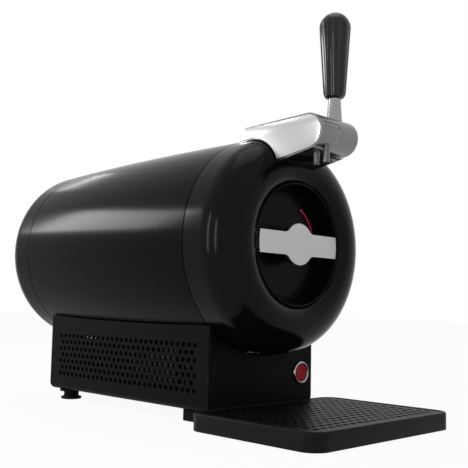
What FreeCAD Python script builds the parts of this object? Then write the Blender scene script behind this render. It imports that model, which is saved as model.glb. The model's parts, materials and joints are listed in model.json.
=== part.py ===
import FreeCAD, Part
import math
import os
from collections import namedtuple

import Sketcher

# A countertop dispenser for a small keg: a lying drum on a ventilated base, a round door in front,
# a tap with a pull lever on top and a loose drip tray. Millimetres, +Z up, the user stands at -Y.
# Lengths along the drum are measured back from the front face of the base.

# Driving dimensions. Angles are in degrees, counts are whole numbers.
SIZES = {
    # Drum
    "DrumAxisZ": 182.4,
    "DrumRadius": 114.5,
    "DrumBulgeAt": 90.0,
    "DrumSideArc": 5500.0,
    "ShellWall": 3.4,
    "FrontSeamAt": 6.0,
    "RearSeamAt": 305.0,
    "SeamGap": 0.8,
    "SpigotDepth": 8.0,
    "SpigotWall": 2.8,
    "ShoulderAt": -18.0,
    "ShoulderRadius": 34.0,
    "RearShoulderAt": 330.0,
    "RearRadius": 35.0,
    # Mouth of the front ring
    "RimRadius": 65.4,
    "RimAt": -46.0,
    "ThroatRadius": 59.7,
    "ThroatDepth": 22.0,
    "SeatGap": 2.3,
    "SeatPlate": 3.0,
    # Keg bay
    "BayRadius": 54.0,
    "BayWall": 2.5,
    "BayEnd": 262.0,
    "FlangeRadius": 62.0,
    "LatchRing": 3.5,
    "KeeperReach": 9.0,
    "KeeperWidth": 19.0,
    "SleeveStart": -6.0,
    "SleeveEnd": 244.0,
    "SleeveFit": 0.5,
    # Cooling
    "CoolerAt": 122.0,
    "ColdBlockWidth": 44.0,
    "ColdBlockLength": 48.0,
    "ModuleWidth": 40.0,
    "ModuleHeight": 4.0,
    "ProbeRadius": 3.0,
    "ProbeLength": 16.0,
    "SinkWidth": 90.0,
    "SinkLength": 100.0,
    "SinkPlate": 6.0,
    "FinHeight": 26.5,
    "FinWall": 2.0,
    "FinCount": 12,
    "FanWidth": 80.0,
    "FanHeight": 15.0,
    "FanBore": 38.5,
    "FanHub": 14.0,
    "FanTip": 36.0,
    "FanPin": 1.5,
    "BladeCount": 7,
    "BladeWall": 1.6,
    "BladeSweep": 9.0,
    # Base
    "BaseHalf": 79.2,
    "BaseLength": 290.0,
    "BaseBottom": 12.0,
    "BaseWall": 3.0,
    "BaseCorner": 8.0,
    "FloorWall": 2.5,
    "DrumGap": 1.6,
    "EdgeRound": 1.6,
    "VentRadius": 2.6,
    "VentPitch": 8.8,
    "VentRowPitch": 7.62,
    "VentFirstAt": 22.0,
    "VentTopZ": 77.9,
    "VentColumns": 29,
    "VentRows": 4,
    "FloorVentRadius": 3.0,
    "FloorVentPitch": 10.0,
    "FloorVentCount": 7,
    "PlinthHalf": 72.0,
    "PlinthLength": 48.0,
    "FootX": 62.0,
    "FootAt": 268.0,
    "FootStem": 9.0,
    "FootFlange": 14.0,
    "FootPlate": 2.5,
    "PadRadius": 12.5,
    "PadHeight": 3.0,
    "BoardWidth": 60.0,
    "BoardLength": 80.0,
    "BoardWall": 1.6,
    "BoardX": -36.0,
    "BoardAt": 226.0,
    "StandoffHeight": 5.0,
    "StandoffRadius": 3.2,
    "SupplyWidth": 50.0,
    "SupplyLength": 78.0,
    "SupplyHeight": 32.0,
    "SupplyX": 36.0,
    "SupplyAt": 227.0,
    "SaddleHalf": 68.0,
    "SaddleLength": 8.0,
    "SaddleFrontAt": 60.0,
    "SaddleRearAt": 179.0,
    "SaddleScrewX": 62.0,
    "InletX": 38.0,
    "InletZ": 44.0,
    "InletWidth": 27.0,
    "InletHeight": 20.0,
    "InletDepth": 20.0,
    "InletFlange": 4.0,
    "InletLip": 2.0,
    "InletWall": 1.8,
    # Power button
    "ButtonX": 60.0,
    "ButtonZ": 46.0,
    "ButtonRadius": 9.5,
    "ButtonStroke": 2.0,
    "ButtonProud": 1.2,
    "ButtonRing": 12.5,
    "ButtonRingProud": 1.8,
    "ButtonStem": 3.0,
    "ButtonStemLength": 6.0,
    # Drip tray
    "TrayWidth": 217.5,
    "TrayLength": 158.0,
    "TrayHeight": 17.0,
    "TrayCorner": 18.0,
    "TrayFloor": 3.0,
    "TrayRim": 5.0,
    "TrayLedge": 4.0,
    "TrayGap": 0.4,
    "TrayEdge": 1.5,
    "GrilleHeight": 2.2,
    "GrilleSink": 0.6,
    "GrilleHole": 3.3,
    "GrillePitch": 10.4,
    "GrilleColumns": 18,
    "GrilleRows": 13,
    "TongueWidth": 60.0,
    "TongueReach": 30.0,
    "TongueHeight": 6.0,
    "TongueGap": 1.0,
    # Door
    "DoorGap": 1.0,
    "DoorWall": 2.0,
    "DoorFloor": 3.0,
    "DishRadius": 56.6,
    "PlugRadius": 44.0,
    "PlugDepth": 9.0,
    "GasketInner": 50.0,
    "GasketOuter": 57.0,
    "GasketHeight": 1.9,
    "LightRadius": 46.7,
    "LightWidth": 1.6,
    "LightStart": 21.0,
    "LightEnd": 57.0,
    "HingeX": -67.2,
    "HingeAt": -47.2,
    "HingePin": 1.2,
    "HingeKnuckle": 2.6,
    "HingeHalf": 3.6,
    "HingeLug": 4.5,
    # Door handle
    "HandleHalf": 60.5,
    "HandleHeight": 23.5,
    "HandleDisc": 21.7,
    "HandlePlate": 3.0,
    "HandleFace": -47.5,
    "HandleBody": 8.0,
    "HandleInset": 2.0,
    "HandleBlend": 9.0,
    "HandleBoss": 16.0,
    "SpindleRadius": 5.0,
    "LatchHalf": 48.0,
    "LatchHeight": 14.0,
    "LatchBar": 4.0,
    # Tap
    "TapX": -11.75,
    "TapAt": -90.5,
    "TapZ": 287.3,
    "TapHalf": 30.25,
    "SidePlate": 0.6,
    "SidePlateInset": 1.6,
    "BarrelRadius": 17.7,
    "TapWall": 2.5,
    "ArmRearAt": 84.5,
    "ArmRearZ": 15.7,
    "ArmTailAt": 98.5,
    "ArmTailZ": -1.4,
    "ArmTurn": 10.5,
    "HubGap": 0.5,
    "CoverGap": 0.8,
    "JawFront": 6.0,
    "JawSink": 1.5,
    "TapHingeAt": 95.0,
    "TapHingeZ": 13.2,
    "TapHingeKnuckle": 3.0,
    "TapHingePin": 1.5,
    "TapHingeLug": 4.0,
    "TapHingeWidth": 4.7,
    "SlotLeft": -25.2,
    "SlotLength": 23.4,
    "SlotLow": 3.8,
    "SlotHeight": 4.4,
    "ReleaseDepth": 11.0,
    "ReleaseStroke": 1.5,
    "NozzleX": -13.5,
    "NozzleAt": 2.0,
    "NozzleTop": 3.6,
    "NozzleTip": 2.4,
    "NozzleLow": -30.5,
    "NozzleBore": 1.5,
    "GuideAt": -10.5,
    "GuideRadius": 3.15,
    # Lever
    "LeverX": 11.75,
    "AxleRadius": 4.0,
    "HubRound": 4.0,
    "HubBoss": 8.0,
    "SeatZ": 16.0,
    "StemBase": 7.9,
    "StemTop": 6.3,
    "GripLow": 39.9,
    "GripHigh": 128.7,
    "GripNeck": 7.4,
    "GripEnd": 7.5,
    "GripWaist": 11.4,
    "GripWide": 15.8,
    "FluteRadius": 7.0,
    "FluteDepth": 1.5,
    "FluteCount": 8,
    # Fits and fasteners
    "RunFit": 0.05,
    "SlideFit": 0.3,
    "FixedFit": 0.1,
    "ScrewRadius": 1.7,
    "ScrewHead": 3.2,
    "ScrewHeadHeight": 1.8,
    "ScrewLength": 9.0,
}

PLANES = {"up": "XY_Plane", "back": "XZ_Plane", "right": "YZ_Plane"}
AXES = {"X": ("back", "X_Axis"), "Y": ("right", "Y_Axis"), "Z": ("back", "Z_Axis")}
LEFT, RIGHT = 1, -1
Disc = namedtuple("Disc", "u v radius")

doc = FreeCAD.newDocument("Dispenser")
sheet = doc.addObject("Spreadsheet::Sheet", "Sizes")
for row, (alias, number) in enumerate(SIZES.items(), start=1):
    sheet.set(f"A{row}", str(number))
    sheet.setAlias(f"A{row}", alias)
doc.recompute()


class Size:
    """A length that carries its number and the spreadsheet expression behind it."""

    def __init__(self, number, text):
        self.number = float(number)
        self.text = text

    def __add__(self, other):
        other = as_size(other)
        return Size(self.number + other.number, f"({self.text} + {other.text})")

    def __sub__(self, other):
        other = as_size(other)
        return Size(self.number - other.number, f"({self.text} - {other.text})")

    def __mul__(self, other):
        other = as_size(other)
        return Size(self.number * other.number, f"({self.text} * {other.text})")

    def __truediv__(self, other):
        other = as_size(other)
        return Size(self.number / other.number, f"({self.text} / {other.text})")

    def __radd__(self, other):
        return as_size(other) + self

    def __rsub__(self, other):
        return as_size(other) - self

    def __rmul__(self, other):
        return as_size(other) * self

    def __neg__(self):
        return as_size(0) - self


def as_size(value):
    return value if isinstance(value, Size) else Size(value, repr(float(value)))


def root(value):
    return Size(math.sqrt(value.number), f"sqrt({value.text})")


def cosine(angle):
    return Size(math.cos(math.radians(angle.number)), f"cos({angle.text})")


def sine(angle):
    return Size(math.sin(math.radians(angle.number)), f"sin({angle.text})")


class Sheet:
    """Reads each driving dimension as a Size attribute."""

    def __getattr__(self, name):
        return Size(SIZES[name], f"Sizes.{name}")


d = Sheet()
nodes = {}


def bind(thing, prop, value):
    thing.setExpression(prop, as_size(value).text)


def place(thing, at):
    for letter, value in zip("xyz", at):
        bind(thing, f".Placement.Base.{letter}", value)


def new_body(label, at):
    """A sub-part with its own frame, whose origin lies at the point given."""
    body = doc.addObject("PartDesign::Body", label)
    body.Label = label
    place(body, at)
    nodes[label] = body
    return body


def origin_item(body, role):
    return next(item for item in body.Origin.OriginFeatures if item.Role == role)


def new_sketch(body, facing, start=0):
    """A sketch on an origin plane of its body, moved along that plane's pull direction."""
    sketch = body.newObject("Sketcher::SketchObject", f"{body.Name}_sketch")
    sketch.AttachmentSupport = [(origin_item(body, PLANES[facing]), "")]
    sketch.MapMode = "FlatFace"
    start = as_size(start)
    bind(sketch, "AttachmentOffset.Base.z", -start if facing == "back" else start)
    return sketch


def pin_point(sketch, item, position, u, v):
    for kind, value in (("DistanceX", u), ("DistanceY", v)):
        value = as_size(value)
        index = sketch.addConstraint(Sketcher.Constraint(kind, -1, 1, item, position, value.number))
        sketch.setExpression(f"Constraints[{index}]", value.text)


def pin_radius(sketch, item, radius):
    index = sketch.addConstraint(Sketcher.Constraint("Radius", item, radius.number))
    sketch.setExpression(f"Constraints[{index}]", radius.text)


def arc_between(first, last, radius, turn):
    """An arc from first to last that turns left or right, as seen along the way."""
    chord = last - first
    aside = FreeCAD.Vector(-chord.y, chord.x, 0).normalize()
    rise = math.sqrt(max(radius**2 - (chord.Length / 2) ** 2, 0))
    centre = first + chord * 0.5 + aside * rise * turn
    angles = [math.atan2(point.y - centre.y, point.x - centre.x) for point in (first, last)]
    if turn == RIGHT:
        angles.reverse()
    circle = Part.Circle(centre, FreeCAD.Vector(0, 0, 1), radius)
    return Part.ArcOfCircle(circle, angles[0], angles[1])


def draw_outline(sketch, vertices):
    """A closed outline. A vertex with a radius and a turn starts an arc, any other a straight line."""
    points = [FreeCAD.Vector(as_size(v[0]).number, as_size(v[1]).number, 0) for v in vertices]
    count = len(vertices)
    ends = []
    for index, vertex in enumerate(vertices):
        first, last = points[index], points[(index + 1) % count]
        if len(vertex) == 2:
            ends.append((sketch.addGeometry(Part.LineSegment(first, last), False), 1, 2))
            continue
        radius, turn = as_size(vertex[2]), vertex[3]
        item = sketch.addGeometry(arc_between(first, last, radius.number, turn), False)
        pin_radius(sketch, item, radius)
        ends.append((item, 1, 2) if turn == LEFT else (item, 2, 1))
    for index in range(count):
        item, _, tail = ends[index]
        following, head, _ = ends[(index + 1) % count]
        sketch.addConstraint(Sketcher.Constraint("Coincident", item, tail, following, head))
    for (item, head, _), vertex in zip(ends, vertices):
        pin_point(sketch, item, head, vertex[0], vertex[1])


def draw(sketch, loops):
    for loop in loops:
        if not isinstance(loop, Disc):
            draw_outline(sketch, loop)
            continue
        radius = as_size(loop.radius)
        centre = FreeCAD.Vector(as_size(loop.u).number, as_size(loop.v).number, 0)
        item = sketch.addGeometry(Part.Circle(centre, FreeCAD.Vector(0, 0, 1), radius.number), False)
        pin_radius(sketch, item, radius)
        pin_point(sketch, item, 3, loop.u, loop.v)


def rectangle(low_u, low_v, high_u, high_v):
    return [(low_u, low_v), (high_u, low_v), (high_u, high_v), (low_u, high_v)]


def centred(u, v, width, height):
    return rectangle(u - width / 2, v - height / 2, u + width / 2, v + height / 2)


def rounded(low_u, low_v, high_u, high_v, radius):
    """A rectangle with quarter-round corners."""
    return [
        (low_u + radius, low_v),
        (high_u - radius, low_v, radius, LEFT),
        (high_u, low_v + radius),
        (high_u, high_v - radius, radius, LEFT),
        (high_u - radius, high_v),
        (low_u + radius, high_v, radius, LEFT),
        (low_u, high_v - radius),
        (low_u, low_v + radius, radius, LEFT),
    ]


def pad(body, facing, start, length, loops):
    sketch = new_sketch(body, facing, start)
    draw(sketch, loops)
    feature = body.newObject("PartDesign::Pad", f"{body.Name}_pad")
    feature.Profile = sketch
    feature.Reversed = facing == "back"
    bind(feature, "Length", length)
    return feature


def cut(body, facing, start, length, loops):
    sketch = new_sketch(body, facing, start)
    draw(sketch, loops)
    feature = body.newObject("PartDesign::Pocket", f"{body.Name}_pocket")
    feature.Profile = sketch
    feature.Reversed = facing != "back"
    bind(feature, "Length", length)
    return feature


def turn(body, axis, vertices, kind="Revolution"):
    """A full turn of an outline about one of the body's own axes."""
    facing, role = AXES[axis]
    sketch = new_sketch(body, facing)
    draw_outline(sketch, vertices)
    feature = body.newObject(f"PartDesign::{kind}", f"{body.Name}_turned")
    feature.Profile = sketch
    feature.ReferenceAxis = (origin_item(body, role), [""])
    feature.Angle = 360
    return feature


def carve(body, axis, vertices):
    return turn(body, axis, vertices, kind="Groove")


def repeat(body, feature, *runs):
    """Copies of a feature in a row, or in a grid, each run along an origin axis."""
    copies = body.newObject("PartDesign::MultiTransform", f"{body.Name}_copies")
    copies.Originals = [feature]
    rows = []
    for role, length, count in runs:
        row_copy = doc.addObject("PartDesign::LinearPattern", f"{body.Name}_row")
        body.addObject(row_copy)
        row_copy.Direction = (origin_item(body, role), [""])
        bind(row_copy, "Length", length)
        bind(row_copy, "Occurrences", count)
        rows.append(row_copy)
    copies.Transformations = rows
    body.Tip = copies
    return copies


def repeat_round(body, feature, role, count):
    copies = body.newObject("PartDesign::PolarPattern", f"{body.Name}_ring")
    copies.Originals = [feature]
    copies.Axis = (origin_item(body, role), [""])
    copies.Angle = 360
    bind(copies, "Occurrences", count)
    body.Tip = copies
    return copies


def round_edges(body, radius, wanted, kind="Fillet"):
    """Rounds each edge of the body so far whose end points all pass the test."""
    doc.recompute()
    base = body.Tip
    names = []
    for index, edge in enumerate(base.Shape.Edges, start=1):
        if all(wanted(vertex.Point) for vertex in edge.Vertexes):
            names.append(f"Edge{index}")
    feature = body.newObject(f"PartDesign::{kind}", f"{body.Name}_rounded")
    feature.Base = (base, names)
    bind(feature, "Radius" if kind == "Fillet" else "Size", radius)
    return feature


def near(value, size):
    return abs(value - as_size(size).number) < 0.01


def screws(label, at, spots):
    """Identical screws that share one node, driven upwards, with their heads under the face."""
    parts = []
    for u, v in spots:
        for radius, low, length in (
            (d.ScrewRadius, -d.ScrewHeadHeight / 2, d.ScrewLength + d.ScrewHeadHeight / 2),
            (d.ScrewHead, -d.ScrewHeadHeight, d.ScrewHeadHeight),
        ):
            piece = doc.addObject("Part::Cylinder", f"{label}_piece")
            bind(piece, "Radius", radius)
            bind(piece, "Height", length)
            place(piece, (at[0] + u, at[1] + v, at[2] + low))
            parts.append(piece)
    group = doc.addObject("Part::MultiFuse", label)
    group.Shapes = parts
    group.Label = label
    nodes[label] = group
    return group


def mirrored(label, source):
    """The same sub-part on the other side of the middle plane."""
    copy = doc.addObject("Part::Mirroring", label)
    copy.Source = source
    copy.Normal = FreeCAD.Vector(1, 0, 0)
    copy.Label = label
    nodes[label] = copy
    return copy


# Places that follow from the driving dimensions.
rear_end = d.RearShoulderAt + d.RearRadius
front_y = (d.TrayLength + d.TrayGap - rear_end) / 2
base_frame = (as_size(0), front_y, as_size(0))
drum_frame = (as_size(0), front_y, d.DrumAxisZ)
tap_frame = (d.TapX, front_y + d.TapAt, d.TapZ)
throat_end = d.RimAt + d.ThroatDepth
seat_at = throat_end + d.SeatGap
ring_at = seat_at + d.SeatPlate
flange_at = ring_at + d.LatchRing
floor_top = d.BaseBottom + d.FloorWall
panel_back = d.BaseLength - d.BaseWall
sink_low = floor_top + d.FanHeight
sink_top = sink_low + d.FinHeight + d.SinkPlate
module_top = sink_top + d.ModuleHeight


def drum_radius(at):
    """The outer radius of the slightly bulged drum at a place along it."""
    return d.DrumRadius - (at - d.DrumBulgeAt) * (at - d.DrumBulgeAt) / (2 * d.DrumSideArc)


def drum_form(gap, low, high, axis_v=0):
    """The drum's outline with a gap around it, down to its axis, for cutting what stands against it."""
    return [
        (low, axis_v),
        (high, axis_v),
        (high, drum_radius(high) + gap, d.DrumSideArc, LEFT),
        (low, drum_radius(low) + gap),
    ]


def make_drum_shell():
    body = new_body("drum_shell", drum_frame)
    front = d.FrontSeamAt + d.SeamGap / 2
    rear = d.RearSeamAt - d.SeamGap / 2
    turn(body, "Y", [
        (front, drum_radius(front) - d.ShellWall),
        (rear, drum_radius(rear) - d.ShellWall),
        (rear, drum_radius(rear), d.DrumSideArc, LEFT),
        (front, drum_radius(front)),
    ])
    window = centred(as_size(0), d.CoolerAt, d.ColdBlockWidth + 2 * d.SlideFit, d.ColdBlockLength + 2 * d.SlideFit)
    cut(body, "up", -d.DrumRadius - 1, d.DrumRadius, [window])


def make_front_bezel():
    body = new_body("front_bezel", drum_frame)
    seam = d.FrontSeamAt - d.SeamGap / 2
    edge = drum_radius(d.ShoulderAt)
    crown = edge - d.ShoulderRadius
    front = d.ShoulderAt - d.ShoulderRadius
    lip_rise = d.RimAt - front
    lip_width = crown - d.RimRadius
    lip_radius = (lip_width * lip_width + lip_rise * lip_rise) / (2 * lip_rise)
    spigot = drum_radius(d.FrontSeamAt) - d.ShellWall - d.FixedFit
    inner_radius = d.ShoulderRadius - d.ShellWall
    turn(body, "Y", [
        (seam, drum_radius(seam), d.DrumSideArc, LEFT),
        (d.ShoulderAt, edge, d.ShoulderRadius, LEFT),
        (front, crown, lip_radius, LEFT),
        (d.RimAt, d.RimRadius),
        (throat_end, d.ThroatRadius),
        (seat_at, d.ThroatRadius),
        (seat_at, d.BayRadius),
        (ring_at, d.BayRadius),
        (ring_at, d.FlangeRadius + d.DoorGap),
        (d.RimAt + d.ShellWall * 1.6, d.RimRadius + d.ShellWall),
        (front + d.ShellWall, crown, inner_radius, RIGHT),
        (d.ShoulderAt, edge - d.ShellWall),
        (d.ShoulderAt / 2, spigot - d.SpigotWall),
        (d.FrontSeamAt + d.SpigotDepth, spigot - d.SpigotWall),
        (d.FrontSeamAt + d.SpigotDepth, spigot),
        (seam, spigot),
    ])
    pocket_high = d.HingeHalf + d.HingeLug + d.SlideFit
    knuckle = d.HingeKnuckle + d.SlideFit + d.DoorGap / 2
    cut(body, "up", -pocket_high, 2 * pocket_high, [rectangle(
        d.HingeX - knuckle, d.HingeAt - 3 * d.HingeKnuckle, d.HingeX + knuckle, d.HingeAt + knuckle,
    )])
    for low in (d.HingeHalf + d.SlideFit, -pocket_high - d.FixedFit):
        pad(body, "up", low, d.HingeLug + d.FixedFit, [Disc(d.HingeX, d.HingeAt, d.HingeKnuckle)])
    pin_reach = pocket_high + 2 * d.HingeKnuckle
    cut(body, "up", -pin_reach, 2 * pin_reach, [Disc(d.HingeX, d.HingeAt, d.HingePin + d.FixedFit)])


def make_rear_cap():
    body = new_body("rear_cap", drum_frame)
    seam = d.RearSeamAt + d.SeamGap / 2
    edge = drum_radius(d.RearShoulderAt)
    spigot = drum_radius(d.RearSeamAt) - d.ShellWall - d.FixedFit
    inner_radius = d.RearRadius - d.ShellWall
    turn(body, "Y", [
        (rear_end, 0),
        (rear_end, edge - d.RearRadius, d.RearRadius, LEFT),
        (d.RearShoulderAt, edge, d.DrumSideArc, LEFT),
        (seam, drum_radius(seam)),
        (seam, spigot),
        (d.RearSeamAt - d.SpigotDepth, spigot),
        (d.RearSeamAt - d.SpigotDepth, spigot - d.SpigotWall),
        (d.RearSeamAt + d.SpigotDepth, spigot - d.SpigotWall),
        (d.RearShoulderAt, edge - d.ShellWall, inner_radius, RIGHT),
        (rear_end - d.ShellWall, edge - d.RearRadius),
        (rear_end - d.ShellWall, 0),
    ])


def make_bay():
    liner = new_body("bay_liner", drum_frame)
    outer = d.BayRadius + d.BayWall
    turn(liner, "Y", [
        (flange_at, d.BayRadius),
        (d.BayEnd, d.BayRadius),
        (d.BayEnd, 0),
        (d.BayEnd + d.BayWall, 0),
        (d.BayEnd + d.BayWall, outer),
        (flange_at + d.BayWall, outer),
        (flange_at + d.BayWall, d.FlangeRadius),
        (flange_at, d.FlangeRadius),
    ])
    ring = new_body("latch_ring", drum_frame)
    turn(ring, "Y", [
        (ring_at, d.BayRadius),
        (flange_at, d.BayRadius),
        (flange_at, d.FlangeRadius),
        (ring_at, d.FlangeRadius),
    ])
    for low in (d.BayRadius - d.KeeperReach, -(d.BayRadius + 1)):
        pad(ring, "back", ring_at, d.LatchRing, [
            rectangle(-d.KeeperWidth / 2, low, d.KeeperWidth / 2, low + d.KeeperReach + 1),
        ])
    sleeve = new_body("insulation_sleeve", drum_frame)
    inner = outer + d.SleeveFit
    skin = drum_radius(d.RearSeamAt) - d.ShellWall - d.SleeveFit
    turn(sleeve, "Y", [
        (d.SleeveStart, inner),
        (d.SleeveEnd, inner),
        (d.SleeveEnd, skin),
        (d.SleeveStart, skin),
    ])
    hole = centred(as_size(0), d.CoolerAt, d.ColdBlockWidth + 2 * d.SlideFit, d.ColdBlockLength + 2 * d.SlideFit)
    cut(sleeve, "up", -d.DrumRadius, d.DrumRadius, [hole])


def make_cooling():
    block = new_body("cold_block", base_frame)
    pad(block, "up", module_top, d.DrumAxisZ - d.BayRadius - module_top, [
        centred(as_size(0), d.CoolerAt, d.ColdBlockWidth, d.ColdBlockLength),
    ])
    low = d.CoolerAt - d.ColdBlockLength
    cut(block, "back", low, 2 * d.ColdBlockLength,
        [Disc(as_size(0), d.DrumAxisZ, d.BayRadius + d.BayWall + d.FixedFit)])
    probe_z = (module_top + d.DrumAxisZ - d.BayRadius) / 2
    probe_from = d.ColdBlockWidth / 2 - d.ProbeLength
    cut(block, "right", probe_from, d.ProbeLength + 1, [Disc(d.CoolerAt, probe_z, d.ProbeRadius + d.FixedFit)])
    module = new_body("peltier_module", base_frame)
    pad(module, "up", sink_top, d.ModuleHeight, [centred(as_size(0), d.CoolerAt, d.ModuleWidth, d.ModuleWidth)])
    probe = new_body("temperature_probe", base_frame)
    pad(probe, "right", probe_from, d.ProbeLength, [Disc(d.CoolerAt, probe_z, d.ProbeRadius)])
    sink = new_body("heat_sink", base_frame)
    pad(sink, "up", sink_low + d.FinHeight, d.SinkPlate, [
        centred(as_size(0), d.CoolerAt, d.SinkWidth, d.SinkLength),
    ])
    fin = pad(sink, "up", sink_low, d.FinHeight + 1, [rectangle(
        -d.SinkWidth / 2, d.CoolerAt - d.SinkLength / 2,
        -d.SinkWidth / 2 + d.FinWall, d.CoolerAt + d.SinkLength / 2,
    )])
    repeat(sink, fin, ("X_Axis", d.SinkWidth - d.FinWall, d.FinCount))


def make_fan():
    at = (as_size(0), front_y + d.CoolerAt, floor_top)
    spider = d.FloorWall
    frame = new_body("fan_frame", at)
    pad(frame, "up", 0, d.FanHeight, [
        centred(as_size(0), as_size(0), d.FanWidth, d.FanWidth),
        Disc(as_size(0), as_size(0), d.FanBore),
    ])
    pad(frame, "up", 0, spider, [Disc(as_size(0), as_size(0), d.FanHub)])
    arm_half = d.FanHub / 6
    arm = pad(frame, "up", 0, spider, [rectangle(d.FanHub / 2, -arm_half, (d.FanBore + d.FanWidth / 2) / 2, arm_half)])
    repeat_round(frame, arm, "Z_Axis", as_size(4))
    pad(frame, "up", 0, d.FanHeight - d.FloorWall, [Disc(as_size(0), as_size(0), d.FanPin)])
    rotor = new_body("fan_rotor", at)
    low = spider + d.SlideFit * 2
    high = d.FanHeight - d.SlideFit * 2
    pad(rotor, "up", low, high - low, [
        Disc(as_size(0), as_size(0), d.FanHub),
        Disc(as_size(0), as_size(0), d.FanPin + d.RunFit),
    ])
    edge_low = low + d.SlideFit
    edge_high = high - d.SlideFit
    blade = pad(rotor, "right", d.FanHub - 1, d.FanTip - d.FanHub + 1, [[
        (-d.BladeSweep / 2, edge_low),
        (-d.BladeSweep / 2 + d.BladeWall, edge_low),
        (d.BladeSweep / 2, edge_high),
        (d.BladeSweep / 2 - d.BladeWall, edge_high),
    ]])
    repeat_round(rotor, blade, "Z_Axis", d.BladeCount)


def base_outline(at):
    """Front view of the base: flat bottom, round lower corners, top cut to the drum."""
    gap_radius = drum_radius(at) + d.DrumGap
    top = d.DrumAxisZ - root(gap_radius * gap_radius - d.BaseHalf * d.BaseHalf)
    return [
        (-(d.BaseHalf - d.BaseCorner), d.BaseBottom),
        (d.BaseHalf - d.BaseCorner, d.BaseBottom, d.BaseCorner, LEFT),
        (d.BaseHalf, d.BaseBottom + d.BaseCorner),
        (d.BaseHalf, top, gap_radius, RIGHT),
        (-d.BaseHalf, top),
        (-d.BaseHalf, d.BaseBottom + d.BaseCorner, d.BaseCorner, LEFT),
    ]


def make_front_panel():
    body = new_body("front_panel", base_frame)
    pad(body, "back", 0, d.BaseWall, [base_outline(as_size(0))])
    round_edges(body, d.EdgeRound, lambda p: near(p.y, 0) and p.z < d.DrumAxisZ.number - d.DrumRadius.number + 40)
    cut(body, "back", -1, d.BaseWall + 2, [Disc(d.ButtonX, d.ButtonZ, d.ButtonRadius + d.SlideFit + 1.2)])


def make_rear_panel():
    body = new_body("rear_panel", base_frame)
    pad(body, "back", panel_back, d.BaseWall, [base_outline(d.BaseLength)])
    opening = centred(d.InletX, d.InletZ, d.InletWidth + 2 * d.FixedFit, d.InletHeight + 2 * d.FixedFit)
    cut(body, "back", panel_back - 1, d.BaseWall + 2, [opening])


def make_side_panels():
    body = new_body("side_panel_left", base_frame)
    corner_in = d.BaseCorner - d.BaseWall
    high = d.DrumAxisZ - d.DrumRadius / 2
    low = d.BaseBottom
    outer = -d.BaseHalf
    inner = outer + d.BaseWall
    turn_at = -(d.BaseHalf - d.BaseCorner)
    pad(body, "back", d.BaseWall, panel_back - d.BaseWall, [[
        (outer, low + d.BaseCorner, d.BaseCorner, LEFT),
        (turn_at, low),
        (turn_at, low + d.BaseWall, corner_in, RIGHT),
        (inner, low + d.BaseCorner),
        (inner, high),
        (outer, high),
    ]])
    carve_for_drum(body, d.DrumGap)
    last = d.VentPitch * (d.VentColumns - 1)
    rise = d.VentRowPitch * 2 * (d.VentRows - 1)
    depth = d.BaseWall + 2
    hole = cut(body, "right", outer - 1, depth, [Disc(d.VentFirstAt, d.VentTopZ - rise, d.VentRadius)])
    repeat(body, hole, ("Y_Axis", last, d.VentColumns), ("Z_Axis", rise, d.VentRows))
    hole = cut(body, "right", outer - 1, depth, [
        Disc(d.VentFirstAt + d.VentPitch / 2, d.VentTopZ - rise + d.VentRowPitch, d.VentRadius),
    ])
    repeat(body, hole, ("Y_Axis", last - d.VentPitch, d.VentColumns - 1),
           ("Z_Axis", rise - 2 * d.VentRowPitch, d.VentRows - 1))
    mirrored("side_panel_right", body)


def carve_for_drum(body, gap):
    """Cuts the drum's barrel out of a base piece, about an axis at the drum's height."""
    sketch = new_sketch(body, "right")
    low, high = as_size(-2), d.BaseLength + 2
    draw_outline(sketch, [
        (low, d.DrumAxisZ),
        (low, d.DrumAxisZ - drum_radius(low) - gap, d.DrumSideArc, LEFT),
        (high, d.DrumAxisZ - drum_radius(high) - gap),
        (high, d.DrumAxisZ),
    ])
    feature = body.newObject("PartDesign::Groove", f"{body.Name}_carved")
    feature.Profile = sketch
    feature.ReferenceAxis = (sketch, ["Axis0"])
    feature.Angle = 360
    axis = sketch.addGeometry(Part.LineSegment(
        FreeCAD.Vector(low.number, d.DrumAxisZ.number, 0), FreeCAD.Vector(high.number, d.DrumAxisZ.number, 0),
    ), True)
    pin_point(sketch, axis, 1, low, d.DrumAxisZ)
    pin_point(sketch, axis, 2, high, d.DrumAxisZ)
    return feature


def make_floor():
    body = new_body("base_floor", base_frame)
    half = d.BaseHalf - d.BaseCorner
    pad(body, "up", d.BaseBottom, d.FloorWall, [rectangle(-half, d.BaseWall, half, panel_back)])
    reach = d.FloorVentPitch * (d.FloorVentCount - 1)
    hole = cut(body, "up", d.BaseBottom - 1, d.FloorWall + 2, [
        Disc(-reach / 2, d.CoolerAt - reach / 2, d.FloorVentRadius),
    ])
    repeat(body, hole, ("X_Axis", reach, d.FloorVentCount), ("Y_Axis", reach, d.FloorVentCount))
    pad(body, "up", floor_top, d.StandoffHeight, [Disc(u, v, d.StandoffRadius) for u, v in board_spots()])
    cut(body, "up", d.BaseBottom - 1, d.FloorWall + 2, [
        Disc(u, v, d.ScrewRadius + d.FixedFit) for u, v in saddle_screw_spots()
    ])


def board_spots():
    """The corner standoffs under the control board."""
    side = d.BoardWidth / 2 - d.StandoffRadius
    end = d.BoardLength / 2 - d.StandoffRadius
    return [(d.BoardX + side * a, d.BoardAt + end * b) for a in (-1, 1) for b in (-1, 1)]


def saddle_screw_spots():
    """Where the screws go through the floor into the saddles."""
    return [(d.SaddleScrewX * sign, at) for sign in (-1, 1) for at in (d.SaddleFrontAt, d.SaddleRearAt)]


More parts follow.
